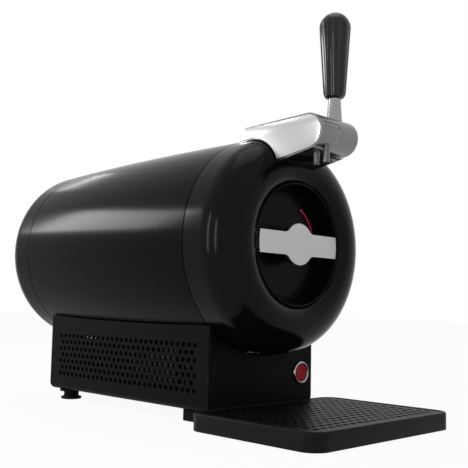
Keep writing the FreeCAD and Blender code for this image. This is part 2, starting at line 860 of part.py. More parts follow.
def make_saddles():
    """Two upright plates on the floor that carry the drum, with windows for the air."""
    for name, middle in (("front", d.SaddleFrontAt), ("rear", d.SaddleRearAt)):
        saddle = new_body(f"drum_saddle_{name}", base_frame)
        start = middle - d.SaddleLength / 2
        seat = d.DrumRadius + d.SlideFit
        top = d.DrumAxisZ - root(seat * seat - d.SaddleHalf * d.SaddleHalf)
        pad(saddle, "back", start, d.SaddleLength, [[
            (-d.SaddleHalf, floor_top),
            (d.SaddleHalf, floor_top),
            (d.SaddleHalf, top, seat, RIGHT),
            (-d.SaddleHalf, top),
        ]])
        frame = d.SaddleLength
        low = floor_top + d.ScrewLength
        high = d.DrumAxisZ - seat - frame
        windows = []
        for side in (-1, 1):
            inner, outer = frame / 2 * side, (d.SaddleHalf - frame) * side
            windows.append(rectangle(*((inner, low, outer, high) if side > 0 else (outer, low, inner, high))))
        cut(saddle, "back", start - 1, d.SaddleLength + 2, windows)
        cut(saddle, "up", floor_top - 1, d.ScrewLength - d.FloorWall + 1.5, [
            Disc(d.SaddleScrewX * sign, middle, d.ScrewRadius + d.FixedFit) for sign in (-1, 1)
        ])


def make_electrics():
    board = new_body("control_board", base_frame)
    top = floor_top + d.StandoffHeight
    pad(board, "up", top, d.BoardWall, [centred(d.BoardX, d.BoardAt, d.BoardWidth, d.BoardLength)])
    relay = centred(d.BoardX - d.BoardWidth / 5, d.BoardAt + d.BoardLength / 5, d.BoardWidth / 4, d.BoardLength / 4)
    chip = centred(d.BoardX + d.BoardWidth / 5, d.BoardAt, d.BoardWidth / 5, d.BoardLength / 5)
    plug = centred(d.BoardX, d.BoardAt - d.BoardLength / 2 + d.BoardWidth / 10, d.BoardWidth / 2, d.BoardWidth / 6)
    for height, outline in ((12, relay), (3, chip), (8, plug)):
        pad(board, "up", top + d.BoardWall, as_size(height), [outline])
    supply = new_body("power_supply", base_frame)
    corner = as_size(3)
    pad(supply, "up", floor_top, d.SupplyHeight, [rounded(
        d.SupplyX - d.SupplyWidth / 2, d.SupplyAt - d.SupplyLength / 2,
        d.SupplyX + d.SupplyWidth / 2, d.SupplyAt + d.SupplyLength / 2, corner,
    )])
    inlet = new_body("power_inlet", base_frame)
    shell_from = panel_back + d.BaseWall - d.InletDepth
    pad(inlet, "back", shell_from, d.InletDepth, [centred(d.InletX, d.InletZ, d.InletWidth, d.InletHeight)])
    pad(inlet, "back", d.BaseLength, d.InletLip, [rounded(
        d.InletX - d.InletWidth / 2 - d.InletFlange, d.InletZ - d.InletHeight / 2 - d.InletFlange,
        d.InletX + d.InletWidth / 2 + d.InletFlange, d.InletZ + d.InletHeight / 2 + d.InletFlange, corner,
    )])
    cavity = centred(d.InletX, d.InletZ, d.InletWidth - 2 * d.InletWall, d.InletHeight - 2 * d.InletWall)
    cut(inlet, "back", shell_from + d.InletWall, d.InletDepth + d.InletLip, [cavity])
    pin = as_size(2)
    for offset_u, offset_v in ((-7, -2), (0, 2), (7, -2)):
        pad(inlet, "back", shell_from + 1, d.InletDepth * 0.6, [
            centred(d.InletX + offset_u, d.InletZ + offset_v, pin, pin * 2),
        ])


def make_supports():
    plinth = new_body("front_plinth", base_frame)
    corner = as_size(4)
    pad(plinth, "up", 0, d.BaseBottom, [rounded(-d.PlinthHalf, as_size(0), d.PlinthHalf, d.PlinthLength, corner)])
    slot_half = d.TongueWidth / 2 + d.TongueGap
    slot_low = (d.BaseBottom - d.TongueHeight) / 2 - d.TongueGap
    cut(plinth, "back", -1, d.TongueReach + 2 * d.TongueGap + 1, [rectangle(
        -slot_half, slot_low, slot_half, slot_low + d.TongueHeight + 2 * d.TongueGap,
    )])
    for side, sign in (("left", -1), ("right", 1)):
        at = (d.FootX * sign, front_y + d.FootAt, as_size(0))
        foot = new_body(f"rear_foot_{side}", at)
        turn(foot, "Z", [
            (0, d.PadHeight),
            (d.FootStem, d.PadHeight),
            (d.FootStem, d.BaseBottom - d.FootPlate),
            (d.FootFlange, d.BaseBottom - d.FootPlate),
            (d.FootFlange, d.BaseBottom),
            (0, d.BaseBottom),
        ])
        rubber = new_body(f"foot_pad_{side}", at)
        bevel = as_size(0.8)
        turn(rubber, "Z", [
            (0, 0),
            (d.PadRadius - bevel, 0),
            (d.PadRadius, bevel),
            (d.PadRadius, d.PadHeight - bevel),
            (d.PadRadius - bevel, d.PadHeight),
            (0, d.PadHeight),
        ])


def make_button():
    at = (d.ButtonX, front_y, d.ButtonZ)
    sleeve = d.ButtonRadius + d.SlideFit
    ring = new_body("button_bezel", at)
    turn(ring, "Y", [
        (-d.ButtonRingProud, sleeve),
        (d.BaseWall + 1, sleeve),
        (d.BaseWall + 1, sleeve + 1.1),
        (0, sleeve + 1.1),
        (0, d.ButtonRing),
        (-d.ButtonRingProud / 3, d.ButtonRing),
        (-d.ButtonRingProud, d.ButtonRing - d.ButtonRingProud),
    ])
    cap = new_body("power_button", at)
    cap_back = d.BaseWall + d.ButtonProud
    turn(cap, "Y", [
        (-d.ButtonProud, 0),
        (cap_back, 0),
        (cap_back + d.ButtonStemLength, 0),
        (cap_back + d.ButtonStemLength, d.ButtonStem),
        (cap_back, d.ButtonStem),
        (cap_back, d.ButtonRadius),
        (-d.ButtonProud + 0.6, d.ButtonRadius),
        (-d.ButtonProud, d.ButtonRadius - 0.6),
    ])
    housing = new_body("button_housing", at)
    room = d.ButtonRadius + d.SlideFit + 2.5
    back = cap_back + d.ButtonStemLength + d.ButtonStroke + d.SlideFit
    turn(housing, "Y", [
        (d.BaseWall, room),
        (back, room),
        (back, 0),
        (back + 2, 0),
        (back + 2, room + 2),
        (d.BaseWall, room + 2),
    ])


def make_tray():
    front = -(d.TrayGap + d.TrayLength)
    half = d.TrayWidth / 2
    tray = new_body("drip_tray", base_frame)
    pad(tray, "up", 0, d.TrayHeight, [rounded(-half, front, half, -d.TrayGap, d.TrayCorner)])
    low = (d.BaseBottom - d.TongueHeight) / 2
    tongue = rectangle(-d.TongueWidth / 2, low, d.TongueWidth / 2, low + d.TongueHeight)
    pad(tray, "back", -d.TrayGap - d.TrayRim / 2, d.TongueReach + d.TrayRim / 2, [tongue])
    round_edges(tray, d.TrayEdge, lambda p: near(p.z, d.TrayHeight))
    ledge_z = d.TrayHeight - d.GrilleHeight - d.GrilleSink
    cut(tray, "up", ledge_z, d.TrayHeight, [inset_tray(d.TrayRim)])
    cut(tray, "up", d.TrayFloor, d.TrayHeight, [inset_tray(d.TrayRim + d.TrayLedge)])
    grille = new_body("drip_grille", base_frame)
    pad(grille, "up", ledge_z, d.GrilleHeight, [inset_tray(d.TrayRim + d.SlideFit)])
    wide = d.GrillePitch * (d.GrilleColumns - 1)
    deep = d.GrillePitch * (d.GrilleRows - 1)
    middle = -d.TrayGap - d.TrayLength / 2
    hole = cut(grille, "up", ledge_z - 1, d.GrilleHeight + 2, [Disc(-wide / 2, middle - deep / 2, d.GrilleHole)])
    repeat(grille, hole, ("X_Axis", wide, d.GrilleColumns), ("Y_Axis", deep, d.GrilleRows))


def inset_tray(inset):
    """The tray's plan, drawn in by the same distance all round."""
    half = d.TrayWidth / 2 - inset
    front = -(d.TrayGap + d.TrayLength) + inset
    return rounded(-half, front, half, -d.TrayGap - inset, d.TrayCorner - inset)


def make_door():
    dish = new_body("door_dish", drum_frame)
    rim = d.RimRadius - d.DoorGap
    back_radius = d.ThroatRadius - d.DoorGap
    floor_front = throat_end - d.DoorFloor
    turn(dish, "Y", [
        (floor_front, 0),
        (throat_end, 0),
        (throat_end, back_radius),
        (d.RimAt, rim),
        (d.RimAt, rim - d.DoorWall),
        (floor_front, d.DishRadius),
    ])
    cut(dish, "back", floor_front - 1, d.DoorFloor + 2,
        [Disc(as_size(0), as_size(0), d.SpindleRadius + d.RunFit)])
    groove = light_outline(d.FixedFit)
    cut(dish, "back", floor_front - 1, as_size(2), [groove])
    light = new_body("light_guide", drum_frame)
    pad(light, "back", floor_front - 0.3, as_size(1.3), [light_outline(as_size(0))])
    plug = new_body("door_insulation", drum_frame)
    turn(plug, "Y", [
        (throat_end, d.SpindleRadius + 2),
        (throat_end + d.PlugDepth, d.SpindleRadius + 2),
        (throat_end + d.PlugDepth, d.PlugRadius),
        (throat_end, d.PlugRadius),
    ])
    gasket = new_body("door_gasket", drum_frame)
    turn(gasket, "Y", [
        (throat_end, d.GasketInner),
        (throat_end + d.GasketHeight, d.GasketInner + 1.5),
        (throat_end + d.GasketHeight, d.GasketOuter - 1.5),
        (throat_end, d.GasketOuter),
    ])
    leaf = new_body("door_hinge_leaf", drum_frame)
    pad(leaf, "up", -d.HingeHalf, 2 * d.HingeHalf, [Disc(d.HingeX, d.HingeAt, d.HingeKnuckle)])
    leaf_from = d.RimAt - (d.RimAt - d.HingeAt) * 2
    pad(leaf, "up", -d.HingeHalf, 2 * d.HingeHalf, [rectangle(
        d.HingeX, leaf_from, -(rim - d.DoorWall), d.RimAt,
    )])
    cut(leaf, "up", -d.HingeHalf - 1, 2 * d.HingeHalf + 2, [Disc(d.HingeX, d.HingeAt, d.HingePin + d.RunFit)])
    pin = new_body("door_hinge_pin", drum_frame)
    reach = d.HingeHalf + d.HingeLug + d.HingeKnuckle
    pad(pin, "up", -reach, 2 * reach, [Disc(d.HingeX, d.HingeAt, d.HingePin)])


def light_outline(grow):
    """A thin curved strip in the dish floor, upper right of the handle."""
    outer = d.LightRadius + d.LightWidth / 2 + grow
    inner = d.LightRadius - d.LightWidth / 2 - grow
    first, last = d.LightStart - grow, d.LightEnd + grow
    return [
        (outer * cosine(first), outer * sine(first), outer, LEFT),
        (outer * cosine(last), outer * sine(last)),
        (inner * cosine(last), inner * sine(last), inner, RIGHT),
        (inner * cosine(first), inner * sine(first)),
    ]


def handle_outline(inset):
    """A bar with a round middle blended into it and ends that follow the dish, drawn in all round."""
    half, height = d.HandleHalf - 2 * inset, d.HandleHeight / 2 - inset
    disc, blend = d.HandleDisc - inset, d.HandleBlend + inset
    end = root(half * half - height * height)
    blend_u = root((disc + blend) * (disc + blend) - (height + blend) * (height + blend))
    meet = disc / (disc + blend)
    meet_u, meet_v = blend_u * meet, (height + blend) * meet
    outline = []
    for sign in (1, -1):
        outline += [
            (blend_u * sign, -height * sign),
            (end * sign, -height * sign, half, LEFT),
            (end * sign, height * sign),
            (blend_u * sign, height * sign, blend, RIGHT),
            (meet_u * sign, meet_v * sign, disc, LEFT),
            (-meet_u * sign, meet_v * sign, blend, RIGHT),
        ]
    return outline


def make_handle():
    plate = new_body("handle_plate", drum_frame)
    pad(plate, "back", d.HandleFace, d.HandlePlate, [handle_outline(as_size(0))])
    round_edges(plate, as_size(0.6), lambda p: near(p.y, d.HandleFace))
    body_from = d.HandleFace + d.HandlePlate
    floor_front = throat_end - d.DoorFloor
    grip = new_body("handle_body", drum_frame)
    pad(grip, "back", body_from, d.HandleBody, [handle_outline(d.HandleInset)])
    boss_to = floor_front - d.SlideFit
    pad(grip, "back", body_from, boss_to - body_from, [Disc(as_size(0), as_size(0), d.HandleBoss)])
    socket = boss_to - 6
    cut(grip, "back", socket, 7, [Disc(as_size(0), as_size(0), d.SpindleRadius + d.FixedFit)])
    bar_from = throat_end + d.PlugDepth + d.SlideFit * 2
    spindle = new_body("handle_spindle", drum_frame)
    pad(spindle, "back", socket, bar_from + d.LatchBar - socket, [Disc(as_size(0), as_size(0), d.SpindleRadius)])
    bar = new_body("latch_bar", drum_frame)
    pad(bar, "back", bar_from, d.LatchBar, [
        centred(as_size(0), as_size(0), 2 * d.LatchHalf, d.LatchHeight),
        Disc(as_size(0), as_size(0), d.SpindleRadius + d.FixedFit),
    ])


def arm_outline(inset):
    """Side view of the tap: the barrel's curve in front, a long arm that ends on the drum."""
    radius = d.BarrelRadius - inset
    tail_at = d.ArmTailAt - inset
    rear_at = d.ArmRearAt - inset / 2
    under_at = -radius * sine(d.ArmTurn)
    under_z = -radius * cosine(d.ArmTurn)
    run = tail_at - under_at
    return [
        (under_at, under_z),
        (tail_at, under_z - run * sine(d.ArmTurn) / cosine(d.ArmTurn)),
        (tail_at, d.ArmTailZ),
        (rear_at, d.ArmRearZ - inset),
        (0, radius, radius, LEFT),
        (-radius, 0, radius, LEFT),
    ]


def carve_drum_front(body, gap):
    """Cuts the drum's shoulder and barrel out of a tap piece."""
    sketch = new_sketch(body, "right", -d.TapX)
    edge = drum_radius(d.ShoulderAt) + gap
    crown = drum_radius(d.ShoulderAt) - d.ShoulderRadius
    axis_z = d.DrumAxisZ - d.TapZ
    high = d.FrontSeamAt + 30
    vertices = [
        (high, 0),
        (high, drum_radius(high) + gap, d.DrumSideArc, LEFT),
        (d.ShoulderAt, edge, d.ShoulderRadius + gap, LEFT),
        (d.ShoulderAt - d.ShoulderRadius - gap, crown),
        (d.ShoulderAt - d.ShoulderRadius - gap, 0),
    ]
    moved = [(v[0] - d.TapAt, axis_z + v[1]) + tuple(v[2:]) for v in vertices]
    draw_outline(sketch, moved)
    axis = sketch.addGeometry(Part.LineSegment(
        FreeCAD.Vector(moved[0][0].number, axis_z.number, 0), FreeCAD.Vector(moved[4][0].number, axis_z.number, 0),
    ), True)
    pin_point(sketch, axis, 1, moved[0][0], axis_z)
    pin_point(sketch, axis, 2, moved[4][0], axis_z)
    feature = body.newObject("PartDesign::Groove", f"{body.Name}_carved")
    feature.Profile = sketch
    feature.ReferenceAxis = (sketch, ["Axis0"])
    feature.Angle = 360
    return feature


def make_tap_cover():
    body = new_body("tap_cover", tap_frame)
    half = d.TapHalf - d.SidePlate
    seam = d.HubGap / 2
    pad(body, "right", -half, 2 * half, [arm_outline(as_size(0))])
    carve_drum_front(body, d.CoverGap)
    hub_room = d.BarrelRadius + d.HubGap
    cut(body, "right", -seam, half + 2 * seam, [Disc(as_size(0), as_size(0), hub_room)])
    cut(body, "right", -seam, half + 2 * seam, [rectangle(
        -hub_room - 1, as_size(1), d.StemBase + d.HubGap, hub_room + 1,
    )])
    cut(body, "right", -half + d.TapWall, half - 2 * d.TapWall - seam, [
        Disc(as_size(0), as_size(0), d.BarrelRadius - d.TapWall),
    ])
    inner_top = d.BarrelRadius - d.TapWall
    behind = hub_room + d.TapWall
    deep = -3 * d.BarrelRadius
    cut(body, "right", -half + d.TapWall, 2 * (half - d.TapWall), [[
        (behind, deep),
        (d.ArmTailAt - 1.4 * d.TapWall, deep),
        (d.ArmTailAt - 1.4 * d.TapWall, d.ArmTailZ),
        (d.ArmRearAt - 1.2 * d.TapWall, d.ArmRearZ - d.TapWall),
        (behind, inner_top - d.TapWall / 4),
    ]])
    nose = d.JawFront - d.TapWall / 2
    cut(body, "right", -half + d.TapWall, 2 * (half - d.TapWall), [[
        (nose, deep),
        (behind + d.SlideFit, deep),
        (behind + d.SlideFit, 0),
        (d.BarrelRadius, 0, d.BarrelRadius, RIGHT),
        (nose, -root(d.BarrelRadius * d.BarrelRadius - nose * nose)),
    ]])
    for low in (d.TapHingeLug + d.SlideFit, -(d.TapHingeLug + d.SlideFit + d.TapHingeWidth)):
        pad(body, "right", low, d.TapHingeWidth, [rectangle(
            d.ArmRearAt, d.TapHingeZ - d.TapHingeKnuckle, d.TapHingeAt, d.TapHingeZ + d.TapHingeKnuckle / 2,
        )])
        pad(body, "right", low, d.TapHingeWidth, [Disc(d.TapHingeAt, d.TapHingeZ, d.TapHingeKnuckle)])
    reach = d.TapHingeLug + d.TapHingeWidth + 1
    cut(body, "right", -reach, 2 * reach, [Disc(d.TapHingeAt, d.TapHingeZ, d.TapHingePin + d.RunFit)])
    cut(body, "right", -half - 1, half + 1, [Disc(as_size(0), as_size(0), d.AxleRadius + d.FixedFit)])
    slot = rectangle(d.SlotLeft - d.SlideFit, d.SlotLow - d.SlideFit,
                     d.SlotLeft + d.SlotLength + d.SlideFit, d.SlotLow + d.SlotHeight + d.SlideFit)
    cut(body, "back", -d.BarrelRadius - 1, d.ReleaseDepth + d.ReleaseStroke + 1 + 2 * d.SlideFit, [slot])
    for at, radius in ((d.NozzleAt, d.NozzleTop), (d.GuideAt, d.GuideRadius)):
        cut(body, "up", d.NozzleLow, -d.NozzleLow - 2, [Disc(d.NozzleX, at, radius + d.FixedFit)])


def make_side_plates():
    for side, sign in (("left", -1), ("right", 1)):
        plate = new_body(f"side_plate_{side}", tap_frame)
        start = -d.TapHalf if sign < 0 else d.TapHalf - d.SidePlate
        pad(plate, "right", start, d.SidePlate, [arm_outline(d.SidePlateInset)])
        carve_drum_front(plate, d.CoverGap + d.SidePlateInset / 2)
        if sign > 0:
            cut(plate, "right", start - 1, d.SidePlate + 2, [
                Disc(as_size(0), as_size(0), d.BarrelRadius + d.HubGap + d.SidePlateInset / 2),
            ])


def make_jaw():
    body = new_body("tap_jaw", tap_frame)
    half = d.TapHalf - d.SidePlate - d.TapWall - d.SlideFit * 2
    slope = sine(d.ArmTurn) / cosine(d.ArmTurn)
    low_z = -d.BarrelRadius - d.JawSink
    drum_at = d.ShoulderAt - d.ShoulderRadius - d.TapAt
    behind = d.BarrelRadius + d.HubGap
    pad(body, "right", -half, 2 * half, [[
        (d.JawFront, low_z),
        (drum_at, low_z - (drum_at - d.JawFront) * slope * 1.15),
        (drum_at + d.ShoulderRadius, low_z),
        (d.ArmRearAt - 2 * d.HubGap - d.TapWall, 0),
        (d.ArmRearAt - d.TapWall * 2, d.ArmRearZ - 3 * d.TapWall),
        (behind + 12, -2),
        (behind + 2, low_z + 5),
        (d.JawFront, low_z + 1.2),
    ]])
    carve_drum_front(body, d.FixedFit)
    cut(body, "right", -d.FanPin * 3, d.FanPin * 6, [rectangle(
        d.JawFront - 1, low_z + 4.5, drum_at + d.ShoulderRadius / 2, as_size(10),
    )])


def make_tap_hinge():
    bracket = new_body("tap_hinge_bracket", tap_frame)
    lug = d.TapHingeLug
    foot_z = d.DrumAxisZ + drum_radius(d.FrontSeamAt) - d.TapZ
    pad(bracket, "right", -lug, 2 * lug, [Disc(d.TapHingeAt, d.TapHingeZ, d.TapHingeKnuckle)])
    pad(bracket, "right", -lug, 2 * lug, [rectangle(
        d.TapHingeAt - d.TapHingeKnuckle / 2, foot_z - 4, d.TapHingeAt + d.TapHingeKnuckle, d.TapHingeZ,
    )])
    pad(bracket, "right", -3 * lug, 6 * lug, [rectangle(
        d.TapHingeAt + d.TapHingeKnuckle + d.SlideFit, foot_z - 6,
        d.TapHingeAt + 5 * d.TapHingeKnuckle, foot_z + 2,
    )])
    pad(bracket, "right", -lug, 2 * lug, [rectangle(
        d.TapHingeAt, foot_z - 4, d.TapHingeAt + 2 * d.TapHingeKnuckle, foot_z + 2,
    )])
    carve_drum_front(bracket, d.FixedFit)
    cut(bracket, "right", -lug - 1, 2 * lug + 2, [Disc(d.TapHingeAt, d.TapHingeZ, d.TapHingePin + d.FixedFit)])
    pin = new_body("tap_hinge_pin", tap_frame)
    reach = lug + d.SlideFit + d.TapHingeWidth
    pad(pin, "right", -reach, 2 * reach, [Disc(d.TapHingeAt, d.TapHingeZ, d.TapHingePin)])


def make_spout():
    at = (d.TapX + d.NozzleX, front_y + d.TapAt + d.NozzleAt, d.TapZ)
    inside = -(d.BarrelRadius - d.TapWall) + 2
    nozzle = new_body("spout_nozzle", at)
    turn(nozzle, "Z", [
        (d.NozzleBore, d.NozzleLow),
        (d.NozzleTip + 0.5, d.NozzleLow),
        (d.NozzleTip + 0.5, d.NozzleLow + 1),
        (d.NozzleTip, d.NozzleLow + 1.6),
        (d.NozzleTop, -d.BarrelRadius),
        (d.NozzleTop, inside),
        (d.NozzleBore, inside),
    ])
    guide = new_body("spout_guide", (d.TapX + d.NozzleX, front_y + d.TapAt + d.GuideAt, d.TapZ))
    low = d.NozzleLow + 0.8
    turn(guide, "Z", [
        (0, low),
        (d.GuideRadius, low),
        (d.GuideRadius, -9),
        (0, -9),
    ])
    carve(guide, "Z", [
        (0, low - 1),
        (d.GuideRadius - 1, low - 1),
        (d.GuideRadius - 1, low + 6),
        (0, low + 6),
    ])


def make_release_button():
    depth_from = d.BarrelRadius
    box = doc.addObject("Part::Box", "release_button_block")
    bind(box, "Length", d.SlotLength)
    bind(box, "Width", d.ReleaseDepth)
    bind(box, "Height", d.SlotHeight)
    place(box, (d.TapX + d.SlotLeft, front_y + d.TapAt - depth_from, d.TapZ + d.SlotLow))
    form = doc.addObject("Part::Cylinder", "release_button_form")
    bind(form, "Radius", d.BarrelRadius - 0.2)
    bind(form, "Height", 2 * d.TapHalf)
    form.Placement = FreeCAD.Placement(FreeCAD.Vector(), FreeCAD.Rotation(FreeCAD.Vector(0, 1, 0), 90))
    place(form, (d.TapX - d.TapHalf, front_y + d.TapAt, d.TapZ))
    button = doc.addObject("Part::Common", "release_button")
    button.Base = box
    button.Tool = form
    nodes["release_button"] = button


def make_lever():
    half = d.TapHalf
    seam = d.HubGap / 2
    inner = d.BarrelRadius - d.TapWall
    hub = new_body("lever_hub", tap_frame)
    bore = d.AxleRadius + d.RunFit
    turn(hub, "X", [
        (seam, inner),
        (seam, d.BarrelRadius),
        (half - d.HubRound, d.BarrelRadius, d.HubRound, RIGHT),
        (half, d.BarrelRadius - d.HubRound),
        (half, 0),
        (half - d.TapWall, 0),
        (half - d.TapWall, bore),
        (seam + 1, bore),
        (seam + 1, d.HubBoss),
        (half - 2 * d.TapWall, d.HubBoss),
        (half - 2 * d.TapWall, inner - 1),
        (half - 2 * d.TapWall - 1, inner),
    ])
    cut(hub, "up", d.SeatZ, d.BarrelRadius, [Disc(d.LeverX, as_size(0), d.StemBase + d.FixedFit)])
    axle = new_body("lever_axle", tap_frame)
    left = -(half - d.SidePlate)
    pad(axle, "right", left, half - d.TapWall - d.SlideFit - left, [Disc(as_size(0), as_size(0), d.AxleRadius)])
    at = (d.TapX + d.LeverX, front_y + d.TapAt, d.TapZ)
    stem = new_body("lever_stem", at)
    turn(stem, "Z", [
        (0, d.SeatZ),
        (d.StemBase, d.SeatZ),
        (d.StemTop, d.GripLow),
        (0, d.GripLow),
    ])
    make_grip(at)


def make_grip(at):
    """A long pear-shaped grip with flutes that run out in its round ends."""
    core = doc.addObject("PartDesign::Body", "lever_grip_core")
    place(core, at)
    waist_z = d.GripLow + d.GripEnd
    wide_z = d.GripHigh - d.GripWide
    turn(core, "Z", [
        (0, d.GripLow),
        (d.GripNeck, d.GripLow, d.GripEnd * 1.1, LEFT),
        (d.GripWaist, waist_z),
        (d.GripWide, wide_z, d.GripWide, LEFT),
        (0, d.GripHigh),
    ])
    slope = math.degrees(math.atan2(
        d.GripWide.number - d.GripWaist.number, wide_z.number - waist_z.number,
    ))
    away = d.FluteRadius - d.FluteDepth
    below = as_size(12)
    flutes = []
    for index in range(int(SIZES["FluteCount"])):
        flute = doc.addObject("Part::Cylinder", "lever_grip_flute")
        bind(flute, "Radius", d.FluteRadius)
        bind(flute, "Height", wide_z - waist_z + 4 * below)
        angle = 360 * (index + 0.5) / SIZES["FluteCount"]
        lean = FreeCAD.Rotation(FreeCAD.Vector(0, 1, 0), slope)
        flute.Placement = FreeCAD.Placement(
            FreeCAD.Vector(), FreeCAD.Rotation(FreeCAD.Vector(0, 0, 1), angle) * lean,
        )
        spread = d.GripWaist + away - below * (d.GripWide - d.GripWaist) / (wide_z - waist_z)
        turned = as_size(angle)
        place(flute, (at[0] + spread * cosine(turned), at[1] + spread * sine(turned), at[2] + waist_z - below))
        flutes.append(flute)
    fused = doc.addObject("Part::MultiFuse", "lever_grip_flutes")
    fused.Shapes = flutes
    grip = doc.addObject("Part::Cut", "lever_grip")
    grip.Base = core
    grip.Tool = fused
    nodes["lever_grip"] = grip


def make_screws():
    floor_at = (as_size(0), front_y, d.BaseBottom)
    screws("base_screws", floor_at, saddle_screw_spots())


def make_everything():
    make_drum_shell()
    make_front_bezel()
    make_rear_cap()
    make_bay()
    make_cooling()
    make_fan()
    make_front_panel()
    make_rear_panel()
    make_side_panels()
    make_floor()
    make_saddles()
    make_electrics()
    make_supports()
    make_button()
    make_tray()
    make_door()
    make_handle()
    make_tap_cover()
    make_side_plates()
    make_jaw()
    make_tap_hinge()
    make_spout()
    make_release_button()
    make_lever()
    make_screws()


def check_everything():
    """Stops if a feature failed, a cut removed nothing or a sub-part has no sound shape."""
    doc.recompute()
    for item in doc.Objects:
        if "Invalid" in item.State or "Error" in item.State:
            raise RuntimeError(f"{item.Label} failed: {item.State}")
        if item.TypeId in ("PartDesign::Pocket", "PartDesign::Groove"):
            if item.Shape.Volume > item.BaseFeature.Shape.Volume - 1e-3:
                raise RuntimeError(f"{item.Label} cuts nothing")
    for label, item in nodes.items():
        if item.Shape.isNull() or not item.Shape.isValid():
            raise RuntimeError(f"{label} has no sound shape")


make_everything()
check_everything()
os.makedirs("parts", exist_ok=True)
for label, item in nodes.items():
    item.Shape.exportStep(os.path.join("parts", f"{label}.step"))
print(f"{len(nodes)} sub-parts written")
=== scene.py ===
import json
import logging
import math
from dataclasses import dataclass, field
from enum import Enum
from typing import Callable, Sequence

import bpy
from mathutils import Matrix, Vector


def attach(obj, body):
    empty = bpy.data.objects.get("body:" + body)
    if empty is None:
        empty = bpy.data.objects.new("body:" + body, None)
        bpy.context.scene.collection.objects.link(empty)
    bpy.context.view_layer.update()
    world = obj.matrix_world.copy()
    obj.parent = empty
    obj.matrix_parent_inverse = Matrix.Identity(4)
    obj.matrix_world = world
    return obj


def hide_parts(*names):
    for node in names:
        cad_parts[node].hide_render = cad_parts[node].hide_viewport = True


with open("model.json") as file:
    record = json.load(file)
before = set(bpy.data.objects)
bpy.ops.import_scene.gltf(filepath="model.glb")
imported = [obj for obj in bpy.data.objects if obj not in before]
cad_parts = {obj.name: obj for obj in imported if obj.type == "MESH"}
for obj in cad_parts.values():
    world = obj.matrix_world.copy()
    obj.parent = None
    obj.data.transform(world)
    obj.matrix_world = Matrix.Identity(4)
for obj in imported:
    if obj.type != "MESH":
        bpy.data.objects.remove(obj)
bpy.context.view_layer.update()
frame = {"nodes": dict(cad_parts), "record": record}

log = logging.getLogger("dispenser")
logging.basicConfig(level=logging.INFO, format="%(message)s")

MM = 0.001
FRONT = -103.3
FRONT_Y = FRONT * MM
DRUM_Z = 182.4 * MM
TAP_AT = Vector((-11.75, FRONT - 90.5, 287.3)) * MM
BELLY_RADIUS = 114.5
BELLY_AT = 90.0
BELLY_FLATNESS = 11000.0

CHAIN_MERGE = 0.000002
COPY_MERGE = 0.000004
LATHE_MERGE = 0.000005
PATCH_SHARE = 0.7
GRAIN_SHARE = 0.3

Point = tuple[float, float]
Colour = tuple[float, float, float, float]


class Axis(Enum):
    """The line a lathed piece turns about."""

    X = (1.0, 0.0, 0.0)
    Y = (0.0, 1.0, 0.0)
    Z = (0.0, 0.0, 1.0)


# Shader building


class Wire:
    """One output of a shader node, with arithmetic that adds Math nodes."""

    def __init__(self, graph: "Graph", socket: bpy.types.NodeSocket) -> None:
        """Keeps the graph and the socket."""
        self.graph = graph
        self.socket = socket

    def _math(self, operation: str, first: object, second: object) -> "Wire":
        """Adds a Math node.

        Args:
            operation: the Math node's operation.
            first: a wire or a number.
            second: a wire or a number.

        Returns:
            The node's value.
        """
        return self.graph.node("ShaderNodeMath", {"operation": operation}, {0: first, 1: second})

    def __add__(self, other: object) -> "Wire":
        """self + other."""
        return self._math("ADD", self, other)

    def __radd__(self, other: object) -> "Wire":
        """other + self."""
        return self._math("ADD", other, self)

    def __mul__(self, other: object) -> "Wire":
        """self * other."""
        return self._math("MULTIPLY", self, other)

    def __rmul__(self, other: object) -> "Wire":
        """other * self."""
        return self._math("MULTIPLY", other, self)

    def clipped(self) -> "Wire":
        """The value held between 0 and 1."""
        return self.graph.node("ShaderNodeClamp", {}, {0: self})


